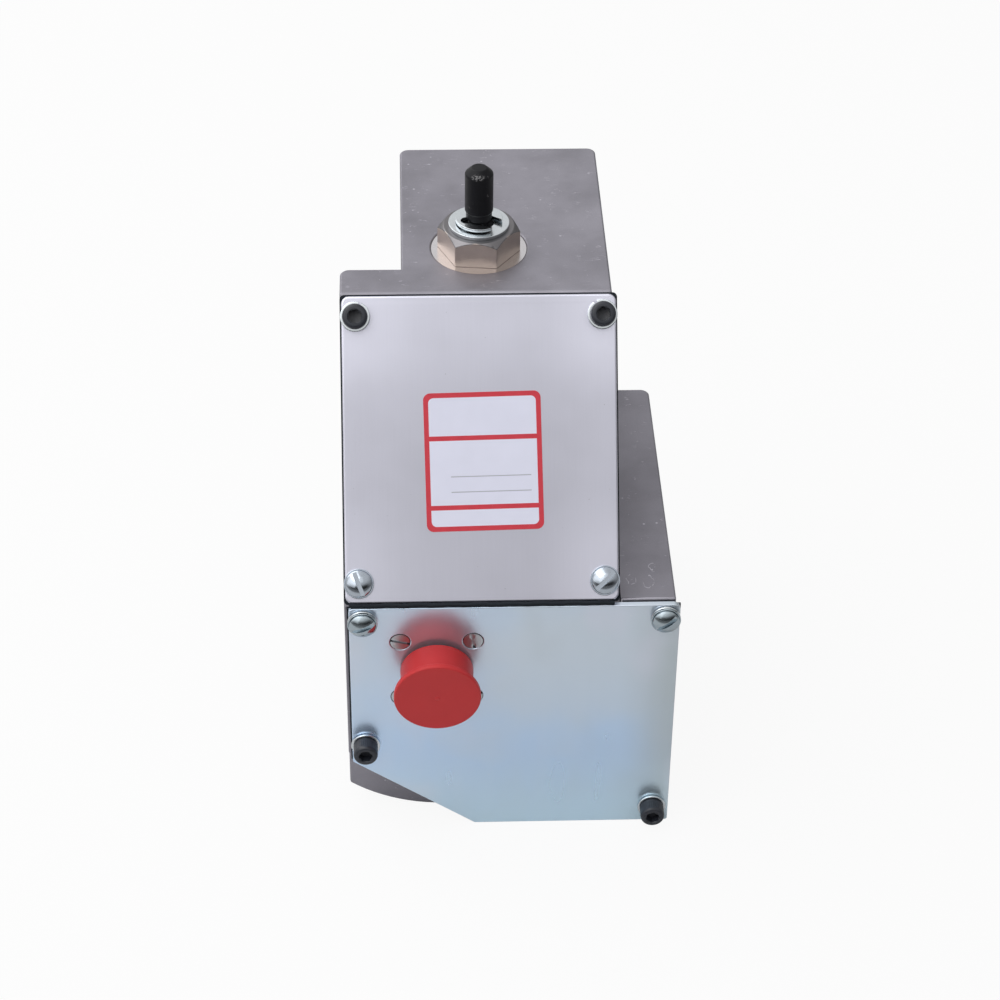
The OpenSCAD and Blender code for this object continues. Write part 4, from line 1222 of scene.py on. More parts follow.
def seats(place: Matrix, spots: Sequence[tuple[float, float, float, float]]) -> dict[str, Any]:
    """Turns places in a plane into a tree's place inputs.

    Args:
        place: Place of the plane.
        spots: Across, up, out and turn in degrees of each copy.

    Returns:
        Values of the place inputs.
    """
    values: dict[str, Any] = {}
    for i, (x, y, z, turn) in enumerate(spots):
        at = place @ Matrix.Translation(Vector((x, y, z)) * MM)
        at = at @ Matrix.Rotation(math.radians(turn), 4, "Z")
        values[f"Place {i}"] = tuple(at.translation)
        values[f"Turn {i}"] = tuple(at.to_euler("XYZ"))
    return values


class Head(Enum):
    """Heads of the cover screws."""

    SOCKET = "socket"
    PAN = "pan"


@dataclass(frozen=True)
class ScrewPair:
    """Two like screws of a cover, and the lock washers under them where these are named."""

    name: str
    node: str
    head: Head
    finish: Finish
    slot: str
    places: tuple[tuple[float, float], ...]
    turns: tuple[float, float]
    washers: str = ""
    washer_node: str = ""
    washer_turns: tuple[float, float] = (0.0, 0.0)


UPPER_PAIRS = (
    ScrewPair(
        "upper_socket_screws", "upper_cap_screws", Head.SOCKET, BLACK, "black_oxide",
        tuple((x, UPPER_ALONG[1]) for x in UPPER_ACROSS), (12, 40),
        "upper_lock_washers", "upper_cap_washers", (70, 120),
    ),
    ScrewPair(
        "upper_slotted_screws", "upper_pan_screws", Head.PAN, UPPER_PAN_SHADE, "zinc_fastener",
        tuple((x, UPPER_ALONG[0]) for x in UPPER_ACROSS), (-70, 45),
    ),
)
LOWER_PAIRS = (
    ScrewPair(
        "lower_slotted_screws", "lower_pan_screws", Head.PAN, LOWER_PAN_SHADE, "zinc_fastener",
        LOWER_PANS, (20, 35), "lower_lock_washers_high", "lower_pan_washers", (-60, -85),
    ),
    ScrewPair(
        "lower_socket_screws", "lower_cap_screws", Head.SOCKET, BLACK, "black_oxide",
        LOWER_CAPS, (5, 22), "lower_lock_washers_low", "lower_cap_washers", (200, 240),
    ),
)


@dataclass
class Fasteners:
    """Screws and lock washers that hold both covers."""

    shank: float = 2.4
    cap_r: float = 3.95
    cap_h: float = 5.0
    socket: float = 4.0
    flutes: int = 36
    flute_deep: float = 0.09
    pan_r: float = 4.7
    pan_h: float = 3.1
    rim_w: float = 0.5
    rim_h: float = 0.72
    slot_w: float = 1.35
    slot_deep: float = 1.5
    lock_r: float = 3.72
    lock_w: float = 1.95
    lock_t: float = 1.0
    lock_gap: float = 0.11
    lock_rise: float = 0.16
    lock_room: float = 1.2
    thread: float = 7.0

    def shank_profile(self, reach: float) -> list[tuple[float, float]]:
        """Profile of a shank up to its seat, with a chamfered end."""
        r, end = self.shank, 0.4
        return [(0, -reach), (r - end, -reach), (r, -reach + end), (r, 0)]

    def cap_screw(self, reach: float) -> bpy.types.Mesh:
        """Socket-head screw with a fluted head.

        Args:
            reach: Length of its shank.

        Returns:
            Mesh with its seat at the origin, in metres.
        """
        steps = self.flutes * 4
        r, h = self.cap_r, self.cap_h
        profile = [
            *self.shank_profile(reach),
            (r - 0.25, 0), (r, 0.25), (r, 0.7), (r, 0.9), (r, h - 1.5), (r, h - 1.3),
            (r - 0.03, h - 0.95), (r - 0.14, h - 0.6), (r - 0.34, h - 0.28), (r - 0.62, h - 0.08),
            (r - 0.95, h), (0, h),
        ]
        work = lathe(profile, steps)
        for vert in work.verts:
            if 0.8 < vert.co.z < h - 1.4 and vert.co.xy.length > r - 0.01:
                k = round(math.atan2(vert.co.y, vert.co.x) / (2 * math.pi) * steps) % 4
                if k in (0, 1):
                    vert.co.xy *= (r - self.flute_deep) / r
        head = mesh_of(work)
        corner = self.socket / math.sqrt(3)
        hexagon = ring_points(0, 0, corner, 6)
        head = cut(head, mesh_of(prism(hexagon, h * 0.45, h + 1)))
        flare = [(0, h * 0.3), (corner * 0.98, h * 0.46), (0, h * 0.62)]
        head = cut(head, mesh_of(lathe(flare, 24)))
        mouth = [(0, h - 0.25), (corner - 0.2, h - 0.25), (corner + 0.2, h + 0.15), (0, h + 0.15)]
        head = cut(head, mesh_of(lathe(mouth, 48)))
        return self.sized(head)

    def pan_screw(self, reach: float) -> bpy.types.Mesh:
        """Slotted pan-head screw with a domed head.

        Args:
            reach: Length of its shank.

        Returns:
            Mesh with its seat at the origin, in metres.
        """
        ball = self.pan_r * 1.24
        dome = []
        for k in range(13):
            r = (self.pan_r - self.rim_w) * (1 - k / 12)
            dome.append((r, self.pan_h - ball + math.sqrt(ball * ball - r * r)))
        profile = [
            *self.shank_profile(reach),
            (self.pan_r - 0.15, 0), (self.pan_r, 0.15), (self.pan_r, self.rim_h - 0.12),
            (self.pan_r - 0.1, self.rim_h), (self.pan_r - self.rim_w + 0.12, self.rim_h),
            (self.pan_r - self.rim_w, self.rim_h - 0.14), *dome,
        ]
        head = mesh_of(lathe(profile, 64))
        half = self.slot_w / 2
        flank = [(-9, -half), (9, -half), (9, half), (-9, half)]
        head = cut(head, mesh_of(prism(flank, self.pan_h - self.slot_deep, self.pan_h + 2)))
        return self.sized(eased(head, 0.10))

    @staticmethod
    def sized(mesh: bpy.types.Mesh) -> bpy.types.Mesh:
        """Scales a screw to metres and shades it."""
        mesh.transform(Matrix.Scale(MM, 4))
        return shaded(mesh)

    def washers(self, pair: ScrewPair, place: Matrix, tree: Tree) -> None:
        """Builds a pair of lock washers.

        Args:
            pair: Screws that they lie under.
            place: Place of the cover's plane.
            tree: Tree that makes split rings.
        """
        middle = SHEET_HIGH + self.lock_room / 2
        spots = [(*at, middle, turn) for at, turn in zip(pair.places, pair.washer_turns)]
        values = {
            "Mean radius": self.lock_r * MM, "Width": self.lock_w * MM,
            "Thickness": self.lock_t * MM, "Gap": self.lock_gap, "Rise": self.lock_rise * MM,
            "Finish": BRIGHT.material(), **seats(place, spots),
        }
        mesh = shaded(tree.run(bpy.data.meshes.new("seed"), values), 45.0)
        settle(piece(pair.washers, mesh, BRIGHT), Body.HOUSING, [pair.washer_node])

    def screws(self, pair: ScrewPair, place: Matrix, tree: Tree) -> None:
        """Builds a pair of screws.

        Args:
            pair: The screws.
            place: Place of the cover's plane.
            tree: Tree that makes copies.
        """
        seat = SHEET_HIGH + (self.lock_room if pair.washers else 0.0)
        make = self.cap_screw if pair.head is Head.SOCKET else self.pan_screw
        screw = make(seat + self.thread)
        spots = [(*at, seat, turn) for at, turn in zip(pair.places, pair.turns)]
        mesh = tree.run(screw, {"Finish": pair.finish.material(), **seats(place, spots)})
        settle(piece(pair.name, mesh, pair.finish), Body.HOUSING, [pair.node])

    def build(self) -> None:
        """Builds all cover screws and washers."""
        copies, rings = copies_tree(2), split_ring_tree(2)
        for place, pairs in ((slope_place(), UPPER_PAIRS), (front_place(), LOWER_PAIRS)):
            for pair in pairs:
                self.screws(pair, place, copies)
                if pair.washers:
                    self.washers(pair, place, rings)


@dataclass
class Casting:
    """Cast housing and its seats."""

    edge: float = 0.7
    spot_r: float = 15.3
    pilot_r: float = 29.0
    pilot_deep: float = 10.2

    def build(self) -> None:
        """Builds the casting with its machined faces."""
        made = piece("casting", softened("housing", self.edge), CAST, SPOT, FACED)
        spot_height = (SPOT_Z - PILOT_H) * MM
        for face in made.data.polygons:
            at, way = face.center, face.normal
            off = math.hypot(at.x / MM - STOP_AT[0], at.y / MM - STOP_AT[1])
            if way.z > 0.9 and abs(at.z - spot_height) < 5e-5 and off < self.spot_r:
                face.material_index = 1
            elif way.y > 0.9 and abs(at.y) < 5e-5:
                face.material_index = 2
            elif abs(math.hypot(at.x, at.z) / MM - self.pilot_r) < 0.3 and at.y > -self.pilot_deep * MM:
                face.material_index = 2
        settle(made, Body.HOUSING, ["housing"])


@dataclass
class UpperCover:
    """Sloped cover sheet, the seam under it and the blank label."""

    left: float = -51.6
    width: float = 85.5
    foot: float = 1.5
    length: float = 95.667
    corner: float = 2.4
    edge: float = 0.55
    label_at: tuple[float, float] = (-7.9, 45.5)
    label_r: float = 2.2
    label_t: float = 0.16
    label_tilt: float = 1.0
    seam_r: float = 0.72
    seam_out: float = 1.85
    seam_z: float = 94.1
    seam_steps: int = 60

    def build(self) -> None:
        """Builds the sheet and the label."""
        right, top = self.left + self.width, self.foot + self.length
        corners = [(self.left, self.foot), (right, self.foot), (right, top), (self.left, top)]
        outlines = [rounded(corners, [self.corner] * 4)]
        outlines += [ring_points(x, y, HOLE_R) for x in UPPER_ACROSS for y in UPPER_ALONG]
        mesh = plate(outlines, SHEET_LOW, SHEET_HIGH, self.edge, slope_place())
        settle(piece("upper_sheet", mesh, COVER), Body.HOUSING, ["upper_cover"])
        self.label()

    def seam(self, wires: Tree) -> None:
        """Builds the black bead between the two covers, which stands for the gasket and for painted
        shade in the gap.

        Args:
            wires: Tree that makes round wire.
        """
        points = []
        for k in range(self.seam_steps + 1):
            x = self.left + 1.2 + (self.width - 2.6) * k / self.seam_steps
            wave = 0.10 * math.sin(0.9 * k) + 0.07 * math.sin(2.3 * k + 1.0)
            points.append(Vector((x, FRONT_Y - self.seam_out + wave, self.seam_z + wave * 0.6)))
        values = {"Radius": self.seam_r * MM, "Sides": 14, "Finish": GASKET.material()}
        mesh = wires.run(path_curve(in_row(points), True), values)
        # Black bead for gasket and for painted shade in the gap under the upper cover.
        settle(piece("seam_bead", mesh, GASKET), Body.HOUSING)

    def label(self) -> None:
        """Builds the blank label with its own map in millimetres."""
        w, h = LABEL.width / 2, LABEL.height / 2
        corners = [(-w, -h), (w, -h), (w, h), (-w, h)]
        outline = rounded(corners, [self.label_r] * 4, 8)
        spot = Matrix.Translation(Vector((*self.label_at, 0)) * MM)
        place = slope_place() @ spot @ Matrix.Rotation(math.radians(self.label_tilt), 4, "Z")
        mesh = plate([outline], SHEET_HIGH, SHEET_HIGH + self.label_t, 0.03, place)
        layer = mesh.uv_layers.new(name="print")
        back = place.inverted()
        for loop in mesh.loops:
            local = back @ mesh.vertices[loop.vertex_index].co
            layer.data[loop.index].uv = (local.x / MM / MAP_MM, local.y / MM / MAP_MM)
        settle(piece("blank_label", mesh, LABEL), Body.HOUSING, ["data_label"])


@dataclass
class LowerCover:
    """Front cover sheet with the slanted corner, and the connector on it."""

    left: float = -50.7
    right: float = 53.3
    top: float = 93.5
    slant: tuple[float, float] = (39.8, 28.5)
    edge: float = 0.3
    barrel_r: float = 9.5
    screw_half: float = 11.5
    screw_turns: tuple[float, ...] = (65, -14, 20, 98)
    head_r: float = 3.2
    shank_r: float = 1.5
    cap_r: float = 11.65
    cap_low: float = 3.4
    cap_high: float = 15.8
    cap_bore: float = 9.62
    cap_roof: float = 14.3
    neck_r: float = 11.25
    neck_top: float = 13.5
    rim_r: float = 13.75
    rim_low: float = 13.9
    cap_tilt: float = 3.5
    cap_home: float = 0.55

    def build(self) -> None:
        """Builds the sheet."""
        corners = [
            (self.left, self.slant[1]), (self.left + self.slant[0], 0.0), (self.right, 0.0),
            (self.right, self.top), (self.left, self.top),
        ]
        outlines = [rounded(corners, [1.0, 1.0, 0.8, 2.2, 1.5])]
        outlines += [ring_points(*at, HOLE_R) for at in (*LOWER_PANS, *LOWER_CAPS)]
        outlines.append(ring_points(*CONNECTOR_AT, self.barrel_r + 0.35, 64))
        outlines += [ring_points(*at, self.head_r + 0.06) for at in self.flange_places()]
        mesh = plate(outlines, SHEET_LOW, SHEET_HIGH, self.edge, front_place())
        settle(piece("lower_sheet", mesh, ZINC), Body.HOUSING, ["lower_cover"])
        self.flange_screws()
        self.cap()

    def flange_places(self) -> list[tuple[float, float]]:
        """Places of the connector's four screws."""
        (x, y), half = CONNECTOR_AT, self.screw_half
        return [(x + sx * half, y + sy * half) for sx in (-1, 1) for sy in (-1, 1)]

    def flange_screws(self) -> None:
        """Builds the four flush slotted screws of the connector."""
        r, s, top = self.head_r, self.shank_r, SHEET_HIGH
        profile = [
            (0, -2.2), (s, -2.2), (s, top - 1.72), (r - 0.12, top - 0.12), (r - 0.1, top - 0.05),
            (r - 0.3, top), (0, top + 0.06),
        ]
        head = mesh_of(lathe(profile, 48))
        flank = [(-6, -0.4), (6, -0.4), (6, 0.4), (-6, 0.4)]
        head = cut(head, mesh_of(prism(flank, top - 0.75, top + 1)))
        head = Fasteners.sized(eased(head, 0.06))
        spots = [(*at, 0.0, turn) for at, turn in zip(self.flange_places(), self.screw_turns)]
        values = {"Finish": FLUSH.material(), **seats(front_place(), spots)}
        mesh = copies_tree(4).run(head, values)
        settle(piece("flange_screws", mesh, FLUSH), Body.HOUSING, ["connector_screws"])

    def cap(self) -> None:
        """Builds the red dust cap, pushed on a little askew."""
        low, high, roof = self.cap_low, self.cap_high, self.cap_roof
        outline = [
            (self.cap_bore, low), (self.cap_r - 0.2, low), (self.cap_r, low),
            (self.neck_r, self.neck_top), (self.rim_r, self.rim_low), (self.rim_r, high), (0.9, high),
        ]
        line = [(0, roof), (9.9, roof), (10.3, roof - 0.3)]
        line += rounded(outline, [0, 0, 0.25, 0.5, 0.35, 0.6, 0])
        line += [(0.8, high + 0.05), (0.55, high + 0.16), (0, high + 0.18)]
        place = front_place() @ Matrix.Translation(Vector((*CONNECTOR_AT, -self.cap_home)) * MM)
        heel = Matrix.Translation(Vector((0, -self.cap_r, low)) * MM)
        askew = heel @ Matrix.Rotation(math.radians(self.cap_tilt), 4, "X") @ heel.inverted()
        mesh = shaded(mesh_of(lathe(line, 96), place @ askew))
        settle(piece("red_dust_cap", mesh, CAP_RED), Body.CAP, ["dust_cap"])


@dataclass
class StopGear:
    """Gland, washer, clip and stop shaft in the top wall."""

    shaft_r: float = 4.5
    low: float = 148.6
    clip_z: float = 181.65
    clip_room: float = 1.7
    groove_r: float = 3.5
    top: float = 201.4
    tip: float = 2.0
    neck_r: float = 4.15
    neck_top: float = 186.2
    clip_r: float = 7.45
    clip_in: float = 3.7
    clip_low: float = 182.1
    clip_t: float = 1.0
    clip_mouth: float = 3.15
    clip_turn: float = -36.0
    notch_at: float = 4.3
    notch_r: float = 1.85

    def build(self) -> None:
        """Builds the shaft, and dresses the gland, washer and clip."""
        r, g = self.shaft_r, self.groove_r
        outline = [
            (r - 0.4, self.low), (r, self.low + 0.4), (r, self.clip_z), (g, self.clip_z),
            (g, self.clip_z + self.clip_room), (self.neck_r, self.clip_z + self.clip_room),
            (self.neck_r, self.neck_top - 0.6), (r, self.neck_top),
            (r, self.top - self.tip), (r * 0.55, self.top), (0, self.top),
        ]
        radii = [0, 0, 0.12, 0.1, 0.1, 0.2, 0.3, 0.3, 0.9, 0.8, 0]
        line = [(0, self.low)] + rounded(outline, radii)
        mesh = shaded(mesh_of(lathe(line, 72), upright_place(*STOP_AT)))
        settle(piece("black_stop_shaft", mesh, SHAFT), Body.STOP, ["stop_shaft"])
        gland = piece("hexagon_gland", softened("gland_nut", 0.22), NICKEL, GLAND_TOP_SHADE)
        # Faces turned upwards take the darker copy: painted shade on the gland's top and chamfer.
        for face in gland.data.polygons:
            face.material_index = int(face.normal.z > 0.3)
        settle(gland, Body.HOUSING, ["gland_nut"])
        carry_over(
            ("flat_washer", "shaft_washer", 0.18, BRIGHT, Body.HOUSING, "zinc_fastener"),
            ("stop_crank", "stop_arm", 0.3, STEEL, Body.STOP, "steel"),
        )
        self.clip()

    def clip(self) -> None:
        """Builds the three-prong clip, with its mouth to the front right."""
        start = math.asin(self.clip_mouth / self.clip_r)
        inner = math.asin(self.clip_mouth / self.clip_in)
        outer = [start + (2 * math.pi - 2 * start) * k / 72 for k in range(73)]
        line = [(self.clip_r * math.cos(a), self.clip_r * math.sin(a)) for a in outer]
        for k in range(97):
            a = 2 * math.pi - inner - (2 * math.pi - 2 * inner) * k / 96
            reach = self.clip_in
            for middle in (2 * math.pi / 3, 4 * math.pi / 3):
                off = self.notch_at * math.sin(a - middle)
                if abs(a - middle) < 1.0 and abs(off) < self.notch_r:
                    depth = math.sqrt(self.notch_r**2 - off**2)
                    reach = max(reach, self.notch_at * math.cos(a - middle) + depth)
            line.append((reach * math.cos(a), reach * math.sin(a)))
        place = upright_place(*STOP_AT) @ Matrix.Rotation(math.radians(self.clip_turn), 4, "Z")
        mesh = plate([line], self.clip_low, self.clip_low + self.clip_t, 0.12, place)
        settle(piece("retaining_clip", mesh, BRIGHT), Body.STOP, ["shaft_clip"])


@dataclass
class Magnet:
    """Core, coils and leads on the floor of the body."""

    core_y: float = -100.0
    leg_x: float = 17.0
    half_x: float = 13.5
    half_y: float = 18.5
    wire_r: float = 0.62
    low: float = 38.02
    high: float = 80.98
    corner: float = 2.6
    turns: int = 34
    lead_r: float = 0.9
    lead_y: tuple[float, float] = (-130.0, -118.8)
    contact_r: float = 4.0

    def build(self) -> None:
        """Builds the core, the bobbins, the core bolts and the windings."""
        carry_over(
            ("sheet_core", "magnet_core", 0.3, STACK, Body.HOUSING, "core_iron"),
            ("bobbins", "coil_bobbins", 0.2, MOULDED, Body.HOUSING, "insulator"),
            ("core_bolts", "core_screws", 0.3, BRIGHT, Body.HOUSING, "zinc_fastener"),
        )
        pitch = (self.high - self.low - 2 * self.wire_r) / (self.turns - 1)
        spots = [(sx * self.leg_x, self.core_y, self.low + self.wire_r, 0) for sx in (-1, 1)]
        values = {
            "Width": 2 * (self.half_x - self.wire_r) * MM,
            "Depth": 2 * (self.half_y - self.wire_r) * MM,
            "Corner": self.corner * MM, "Wire radius": self.wire_r * MM, "Pitch": pitch * MM,
            "Turns": self.turns, "Finish": COPPER.material(),
            **seats(upright_place(0, 0), spots),
        }
        mesh = winding_tree().run(bpy.data.meshes.new("seed"), values)
        settle(piece("copper_windings", mesh, COPPER), Body.HOUSING, ["coil_windings"])

    def leads(self, wires: Tree) -> None:
        """Builds the two leads from the contacts to the windings.

        Args:
            wires: Tree that makes round wire.
        """
        (x, z), off = CONNECTOR_AT, self.contact_r / math.sqrt(2)
        ahead = Vector((0, 3.0, 0))
        meshes = []
        for side, drop in ((-1, 5.0), (1, 9.0)):
            start = Vector((x + side * off, self.lead_y[0], z - side * off))
            end = Vector((side * self.leg_x, self.lead_y[1], z - drop))
            route = [start, start + ahead, (start + end) / 2, end - ahead, end]
            values = {"Radius": self.lead_r * MM, "Sides": 12, "Finish": LEAD.material()}
            meshes.append(wires.run(path_curve(in_row(route), True), values))
        settle(piece("coil_leads", merged(meshes), LEAD), Body.HOUSING, ["lead_wires"])


def merged(meshes: Sequence[bpy.types.Mesh]) -> bpy.types.Mesh:
    """Joins plain meshes into one.

    Args:
        meshes: Meshes to join.

    Returns:
        The joined mesh.
    """
    work = bmesh.new()
    for mesh in meshes:
        work.from_mesh(mesh)
        bpy.data.meshes.remove(mesh)
    mesh = ended(work)
    mesh.shade_smooth()
    return mesh


@dataclass
class RockerGear:
    """Shaft, bearings, armature, lever, link and return spring."""

    axis: tuple[float, float] = (-58.0, 107.0)
    swing: float = 20.0
    lever_len: float = 43.0
    post_share: float = 0.56
    anchor_share: float = 0.465
    anchor_y: float = -20.0
    spring_x: float = 22.2
    post_d: float = 4.0
    anchor_d: float = 5.0
    wire_d: float = 1.1
    coil_r: float = 3.1
    coil_turns: int = 15
    coil_steps: int = 20
    hook_run: float = 5.0
    hook_gap: float = 0.1
    hook_steps: int = 16
    bearing_in: float = 24.9
    bearing_w: float = 7.0
    bearing_radii: tuple[float, float, float, float] = (4.05, 6.0, 9.3, 11.0)
    shield_deep: float = 0.5

    def build(self, wires: Tree) -> None:
        """Builds the bearings and the spring, and dresses the rest.

        Args:
            wires: Tree that makes round wire.
        """
        carry_over(
            ("iron_flap", "armature", 0.4, IRON, Body.ROCKER, "core_iron"),
            ("output_lever", "lever", 0.3, STEEL, Body.ROCKER, "steel"),
            ("cross_shaft", "rocker_shaft", 0.25, STEEL, Body.ROCKER, "steel"),
            ("pivot_pin", "link_pin", 0.2, STEEL, Body.ROCKER, "steel"),
            ("pivot_clip", "link_clip", 0.08, BRIGHT, Body.ROCKER, "zinc_fastener"),
            ("rack_bar", "rack_link", 0.25, STEEL, Body.LINK, "steel"),
            ("side_plugs", "bearing_plugs", 0.3, STEEL, Body.HOUSING, "steel"),
        )
        for side, node in ((-1, "left_bearing"), (1, "right_bearing")):
            self.bearing(side, node)
        self.spring(wires)

    def bearing(self, side: int, node: str) -> None:
        """Builds a shielded bearing.

        Args:
            side: -1 on the left, 1 on the right.
            node: CAD node that it stands for.
        """
        w, deep = self.bearing_w, self.shield_deep
        bore, inner, outer, r = self.bearing_radii
        outline = [
            (bore, 0.0), (inner, 0.0), (inner, deep), (outer, deep), (outer, 0.0), (r, 0.0),
            (r, w), (outer, w), (outer, w - deep), (inner, w - deep), (inner, w), (bore, w),
        ]
        line = rounded(outline, [0.3, 0.15, 0, 0, 0.15, 0.4, 0.4, 0.15, 0, 0, 0.15, 0.3], 3)
        turn = Matrix.Rotation(math.radians(90 * side), 4, "Y")
        at = Vector((side * self.bearing_in, self.axis[0], self.axis[1] - PILOT_H)) * MM
        mesh = shaded(mesh_of(lathe(line, 72), Matrix.Translation(at) @ turn))
        name = node.replace("bearing", "ball_bearing")
        settle(piece(name, mesh, STEEL), Body.HOUSING, [node])

    def hook(
        self, centre: Vector, way: Vector, side: Vector, pin: float, sweep: tuple[float, float]
    ) -> list[Vector]:
        """Points of a hook round a pin.

        Args:
            centre: Pin's centre.
            way: Direction along the spring.
            side: Direction across it.
            pin: Pin's diameter.
            sweep: First and last turn from the spring's direction, in degrees.

        Returns:
            The points.
        """
        reach = pin / 2 + self.wire_d / 2 + self.hook_gap
        steps = range(self.hook_steps + 1)
        turns = [sweep[0] + (sweep[1] - sweep[0]) * k / self.hook_steps for k in steps]
        ways = ((math.cos(math.radians(a)), math.sin(math.radians(a))) for a in turns)
        return [centre + (way * cos + side * sin) * reach for cos, sin in ways]

    def spring(self, wires: Tree) -> None:
        """Builds the return spring from its post, with the lever at half its swing, to its anchor.

        Args:
            wires: Tree that makes round wire.
        """
        half = math.radians(self.swing / 2)
        arm = self.post_share * self.lever_len
        x, (y, z) = self.spring_x, self.axis
        post = Vector((x, y + arm * math.sin(half), z + arm * math.cos(half)))
        anchor = Vector((x, self.anchor_y, z + self.anchor_share * self.lever_len))
        way = (anchor - post).normalized()
        across = Vector((1, 0, 0))
        side = way.cross(across)
        path = self.hook(post, way, side, self.post_d, (-45, -270))
        run = (anchor - post).length - 2 * self.hook_run
        steps = self.coil_turns * self.coil_steps
        for i in range(steps + 1):
            a = math.radians(90 + 360 * i / self.coil_steps)
            along = way * (self.hook_run + run * i / steps)
            path.append(post + along + (across * math.cos(a) + side * math.sin(a)) * self.coil_r)
        path += self.hook(anchor, way, side, self.anchor_d, (90, -135))
        values = {"Radius": self.wire_d / 2 * MM, "Sides": 10, "Finish": STEEL.material()}
        mesh = wires.run(path_curve(in_row(path), False), values)
        made = piece("return_coil_spring", mesh, STEEL)
        fixed, moving = in_row((anchor, post))
        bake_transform(made)
        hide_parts("return_spring")
        LOG.info("%s bends from %s to %s", made.name, Body.HOUSING.value, Body.ROCKER.value)


def dress_frame() -> None:
    """Gives the CAD nodes that still show their finishes."""
    finishes = {
        "upper_gasket": GASKET, "lower_gasket": GASKET, "connector_gasket": GASKET,
        "connector_shell": SHELL, "connector_insert": MOULDED, "connector_contacts": BRASS,
        "gland_seal": SEAL, "stop_arm_pin": STEEL, "armature_pin": STEEL, "lever_pin": STEEL,
        "spring_post": STEEL, "spring_anchor": STEEL,
    }
    for node, finish in finishes.items():
        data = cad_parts[node].data
        data.materials.clear()
        data.materials.append(finish.material())
        LOG.info("%s dressed as %s", node, finish.name)


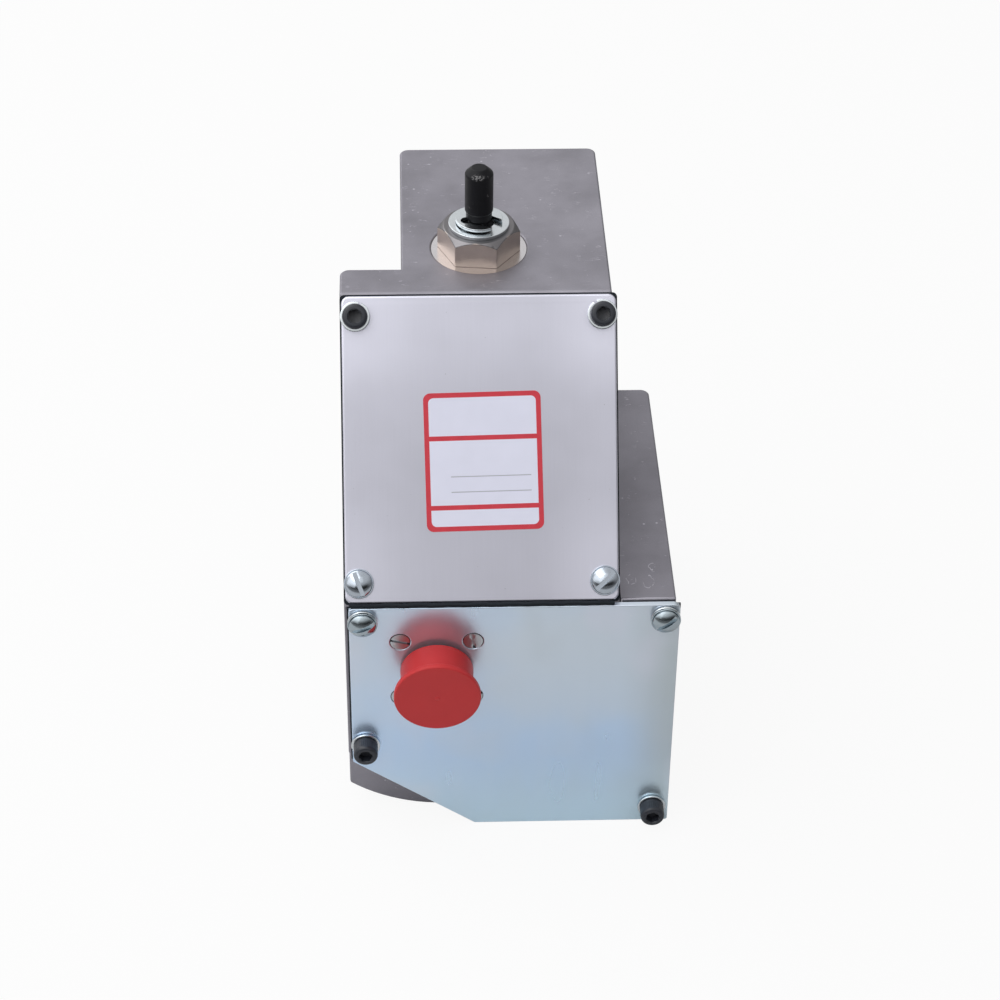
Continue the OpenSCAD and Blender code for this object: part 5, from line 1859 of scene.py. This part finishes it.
@dataclass
class Studio:
    """Camera, floor, lamps and white surround."""

    at: tuple[float, float, float] = (-31.224, -791.663, 601.863)
    focal: float = 2702.8
    frame_px: float = 1000.0
    down: float = math.radians(37.865)
    yaw: float = math.radians(2.435)
    roll: float = math.radians(0.732)
    aim: tuple[float, float, float] = (0.0, -0.08, 0.06)
    lamps: tuple[tuple[str, tuple[float, float, float], float, float], ...] = (
        ("left_box", (-0.75, -0.65, 0.75), 1.3, 3.5),
        ("top_box", (-0.40, -0.25, 1.05), 0.9, 2.6),
        ("front_box", (0.15, -0.75, 1.15), 0.8, 0.6),
        ("back_box", (-0.62, 0.45, 0.80), 1.0, 3.8),
    )
    floor_half: float = 3.0
    floor_tone: Colour = (0.68, 0.68, 0.68)
    # Tone of the floor band in front of the object that only reflections show: painted dark reflection.
    reflected_dark_tone: Colour = (0.05, 0.05, 0.05)
    sky_level: float = 0.24
    sky_top: float = 0.52
    sky_left: float = 0.44
    white: Colour = (1.0, 1.0, 1.0)

    def camera(self) -> None:
        """Makes the camera at the photograph's viewing angle."""
        level = math.cos(self.down)
        ahead = Vector((math.sin(self.yaw) * level, math.cos(self.yaw) * level, -math.sin(self.down)))
        right = Vector((math.cos(self.yaw), -math.sin(self.yaw), 0))
        up = right.cross(ahead)
        across = right * math.cos(self.roll) + up * math.sin(self.roll)
        upward = up * math.cos(self.roll) - right * math.sin(self.roll)
        lens = bpy.data.cameras.new("camera")
        lens.sensor_fit = "HORIZONTAL"
        lens.angle = 2 * math.atan(self.frame_px / 2 / self.focal)
        lens.clip_start = 0.01
        made = linked("camera", lens)
        turn = Matrix((across, upward, -ahead)).transposed().to_4x4()
        made.matrix_world = Matrix.Translation(Vector(self.at) * MM) @ turn
        bpy.context.scene.camera = made

    def floor(self) -> None:
        """Makes the pale floor that keeps the object's shadow, with a dark band in front of the object
        that only reflections show: a painted dark reflection on the metal parts.
        """
        work = bmesh.new()
        bmesh.ops.create_grid(work, x_segments=1, y_segments=1, size=self.floor_half)
        bmesh.ops.translate(work, vec=(0, 0, -PILOT_H * MM - 1e-4), verts=work.verts)
        mesh = ended(work)
        paint = bpy.data.materials.new("floor_paint")
        book = blank_book(paint)
        camera, glossy = self.rays(book)
        place = book.add("ShaderNodeTexCoord", {}, {}, "Object")
        # Painted dark reflection: the floor ahead of the object turns dark for glossy rays only.
        ahead = book.axis(place, "Y").below(-0.46, -0.30)
        tone = book.mix(ahead * glossy * 0.85, self.floor_tone, self.reflected_dark_tone)
        matt = book.add("ShaderNodeBsdfDiffuse", {}, {"Color": tone})
        glow = book.add("ShaderNodeEmission", {}, {"Color": self.white, "Strength": 1.0})
        seen = book.math("MAXIMUM", camera * 0.92, glossy * 0.06)
        both = book.add("ShaderNodeMixShader", {}, {0: seen, 1: matt, 2: glow})
        book.add("ShaderNodeOutputMaterial", {}, {"Surface": both})
        mesh.materials.append(paint)
        linked("floor", mesh)

    @staticmethod
    def rays(book: Book) -> tuple[Val, Val]:
        """Camera rays, and glossy or transmission rays.

        Args:
            book: Book of the tree.

        Returns:
            The two masks.
        """
        kinds = ("Is Camera Ray", "Is Glossy Ray", "Is Transmission Ray")
        camera, glossy, through = (book.add("ShaderNodeLightPath", {}, {}, kind) for kind in kinds)
        return camera, book.math("MAXIMUM", glossy, through)

    def surround(self) -> None:
        """Makes the white surround, which lights the object less than it shows."""
        world = bpy.data.worlds.new("surround")
        book = blank_book(world)
        camera, glossy = self.rays(book)
        way = book.add("ShaderNodeTexCoord", {}, {}, "Generated")
        x, y, z = (book.axis(way, name) for name in "XYZ")
        sky = self.sky_level + z.above(-0.05, 0.75) * self.sky_top + x.below(-0.5, 0.5) * self.sky_left
        sky = sky * (1.0 - y.below(-0.75, -0.2) * z.below(0.18, 0.50) * 0.9)
        strength = book.math("MAXIMUM", camera, sky * (0.66 + glossy * 0.34))
        light = book.add("ShaderNodeBackground", {}, {"Color": self.white, "Strength": strength})
        book.add("ShaderNodeOutputWorld", {}, {"Surface": light})
        bpy.context.scene.world = world

    def lamp(self, name: str, at: Point, size: float, power: float) -> None:
        """Makes a soft area lamp that faces the object.

        Args:
            name: Lamp's name.
            at: Place in metres.
            size: Side of its square.
            power: Power in watts.
        """
        data = bpy.data.lights.new(name, "AREA")
        data.shape = "SQUARE"
        data.size = size
        data.energy = power
        made = linked(name, data)
        made.location = at
        way = Vector(self.aim) - Vector(at)
        made.rotation_euler = way.to_track_quat("-Z", "Y").to_euler()

    def build(self) -> None:
        """Builds the studio."""
        self.camera()
        self.floor()
        self.surround()
        for lamp in self.lamps:
            self.lamp(*lamp)
        bpy.context.scene.view_settings.view_transform = "Standard"


def main() -> None:
    """Builds the studio and every sub-assembly, in order."""
    logging.basicConfig(level=logging.INFO, format="%(name)s: %(message)s")
    Studio().build()
    Casting().build()
    wires = wire_tree()
    upper = UpperCover()
    upper.build()
    upper.seam(wires)
    LowerCover().build()
    Fasteners().build()
    StopGear().build()
    magnet = Magnet()
    magnet.build()
    magnet.leads(wires)
    RockerGear().build(wires)
    dress_frame()


if __name__ == "__main__":
    main()
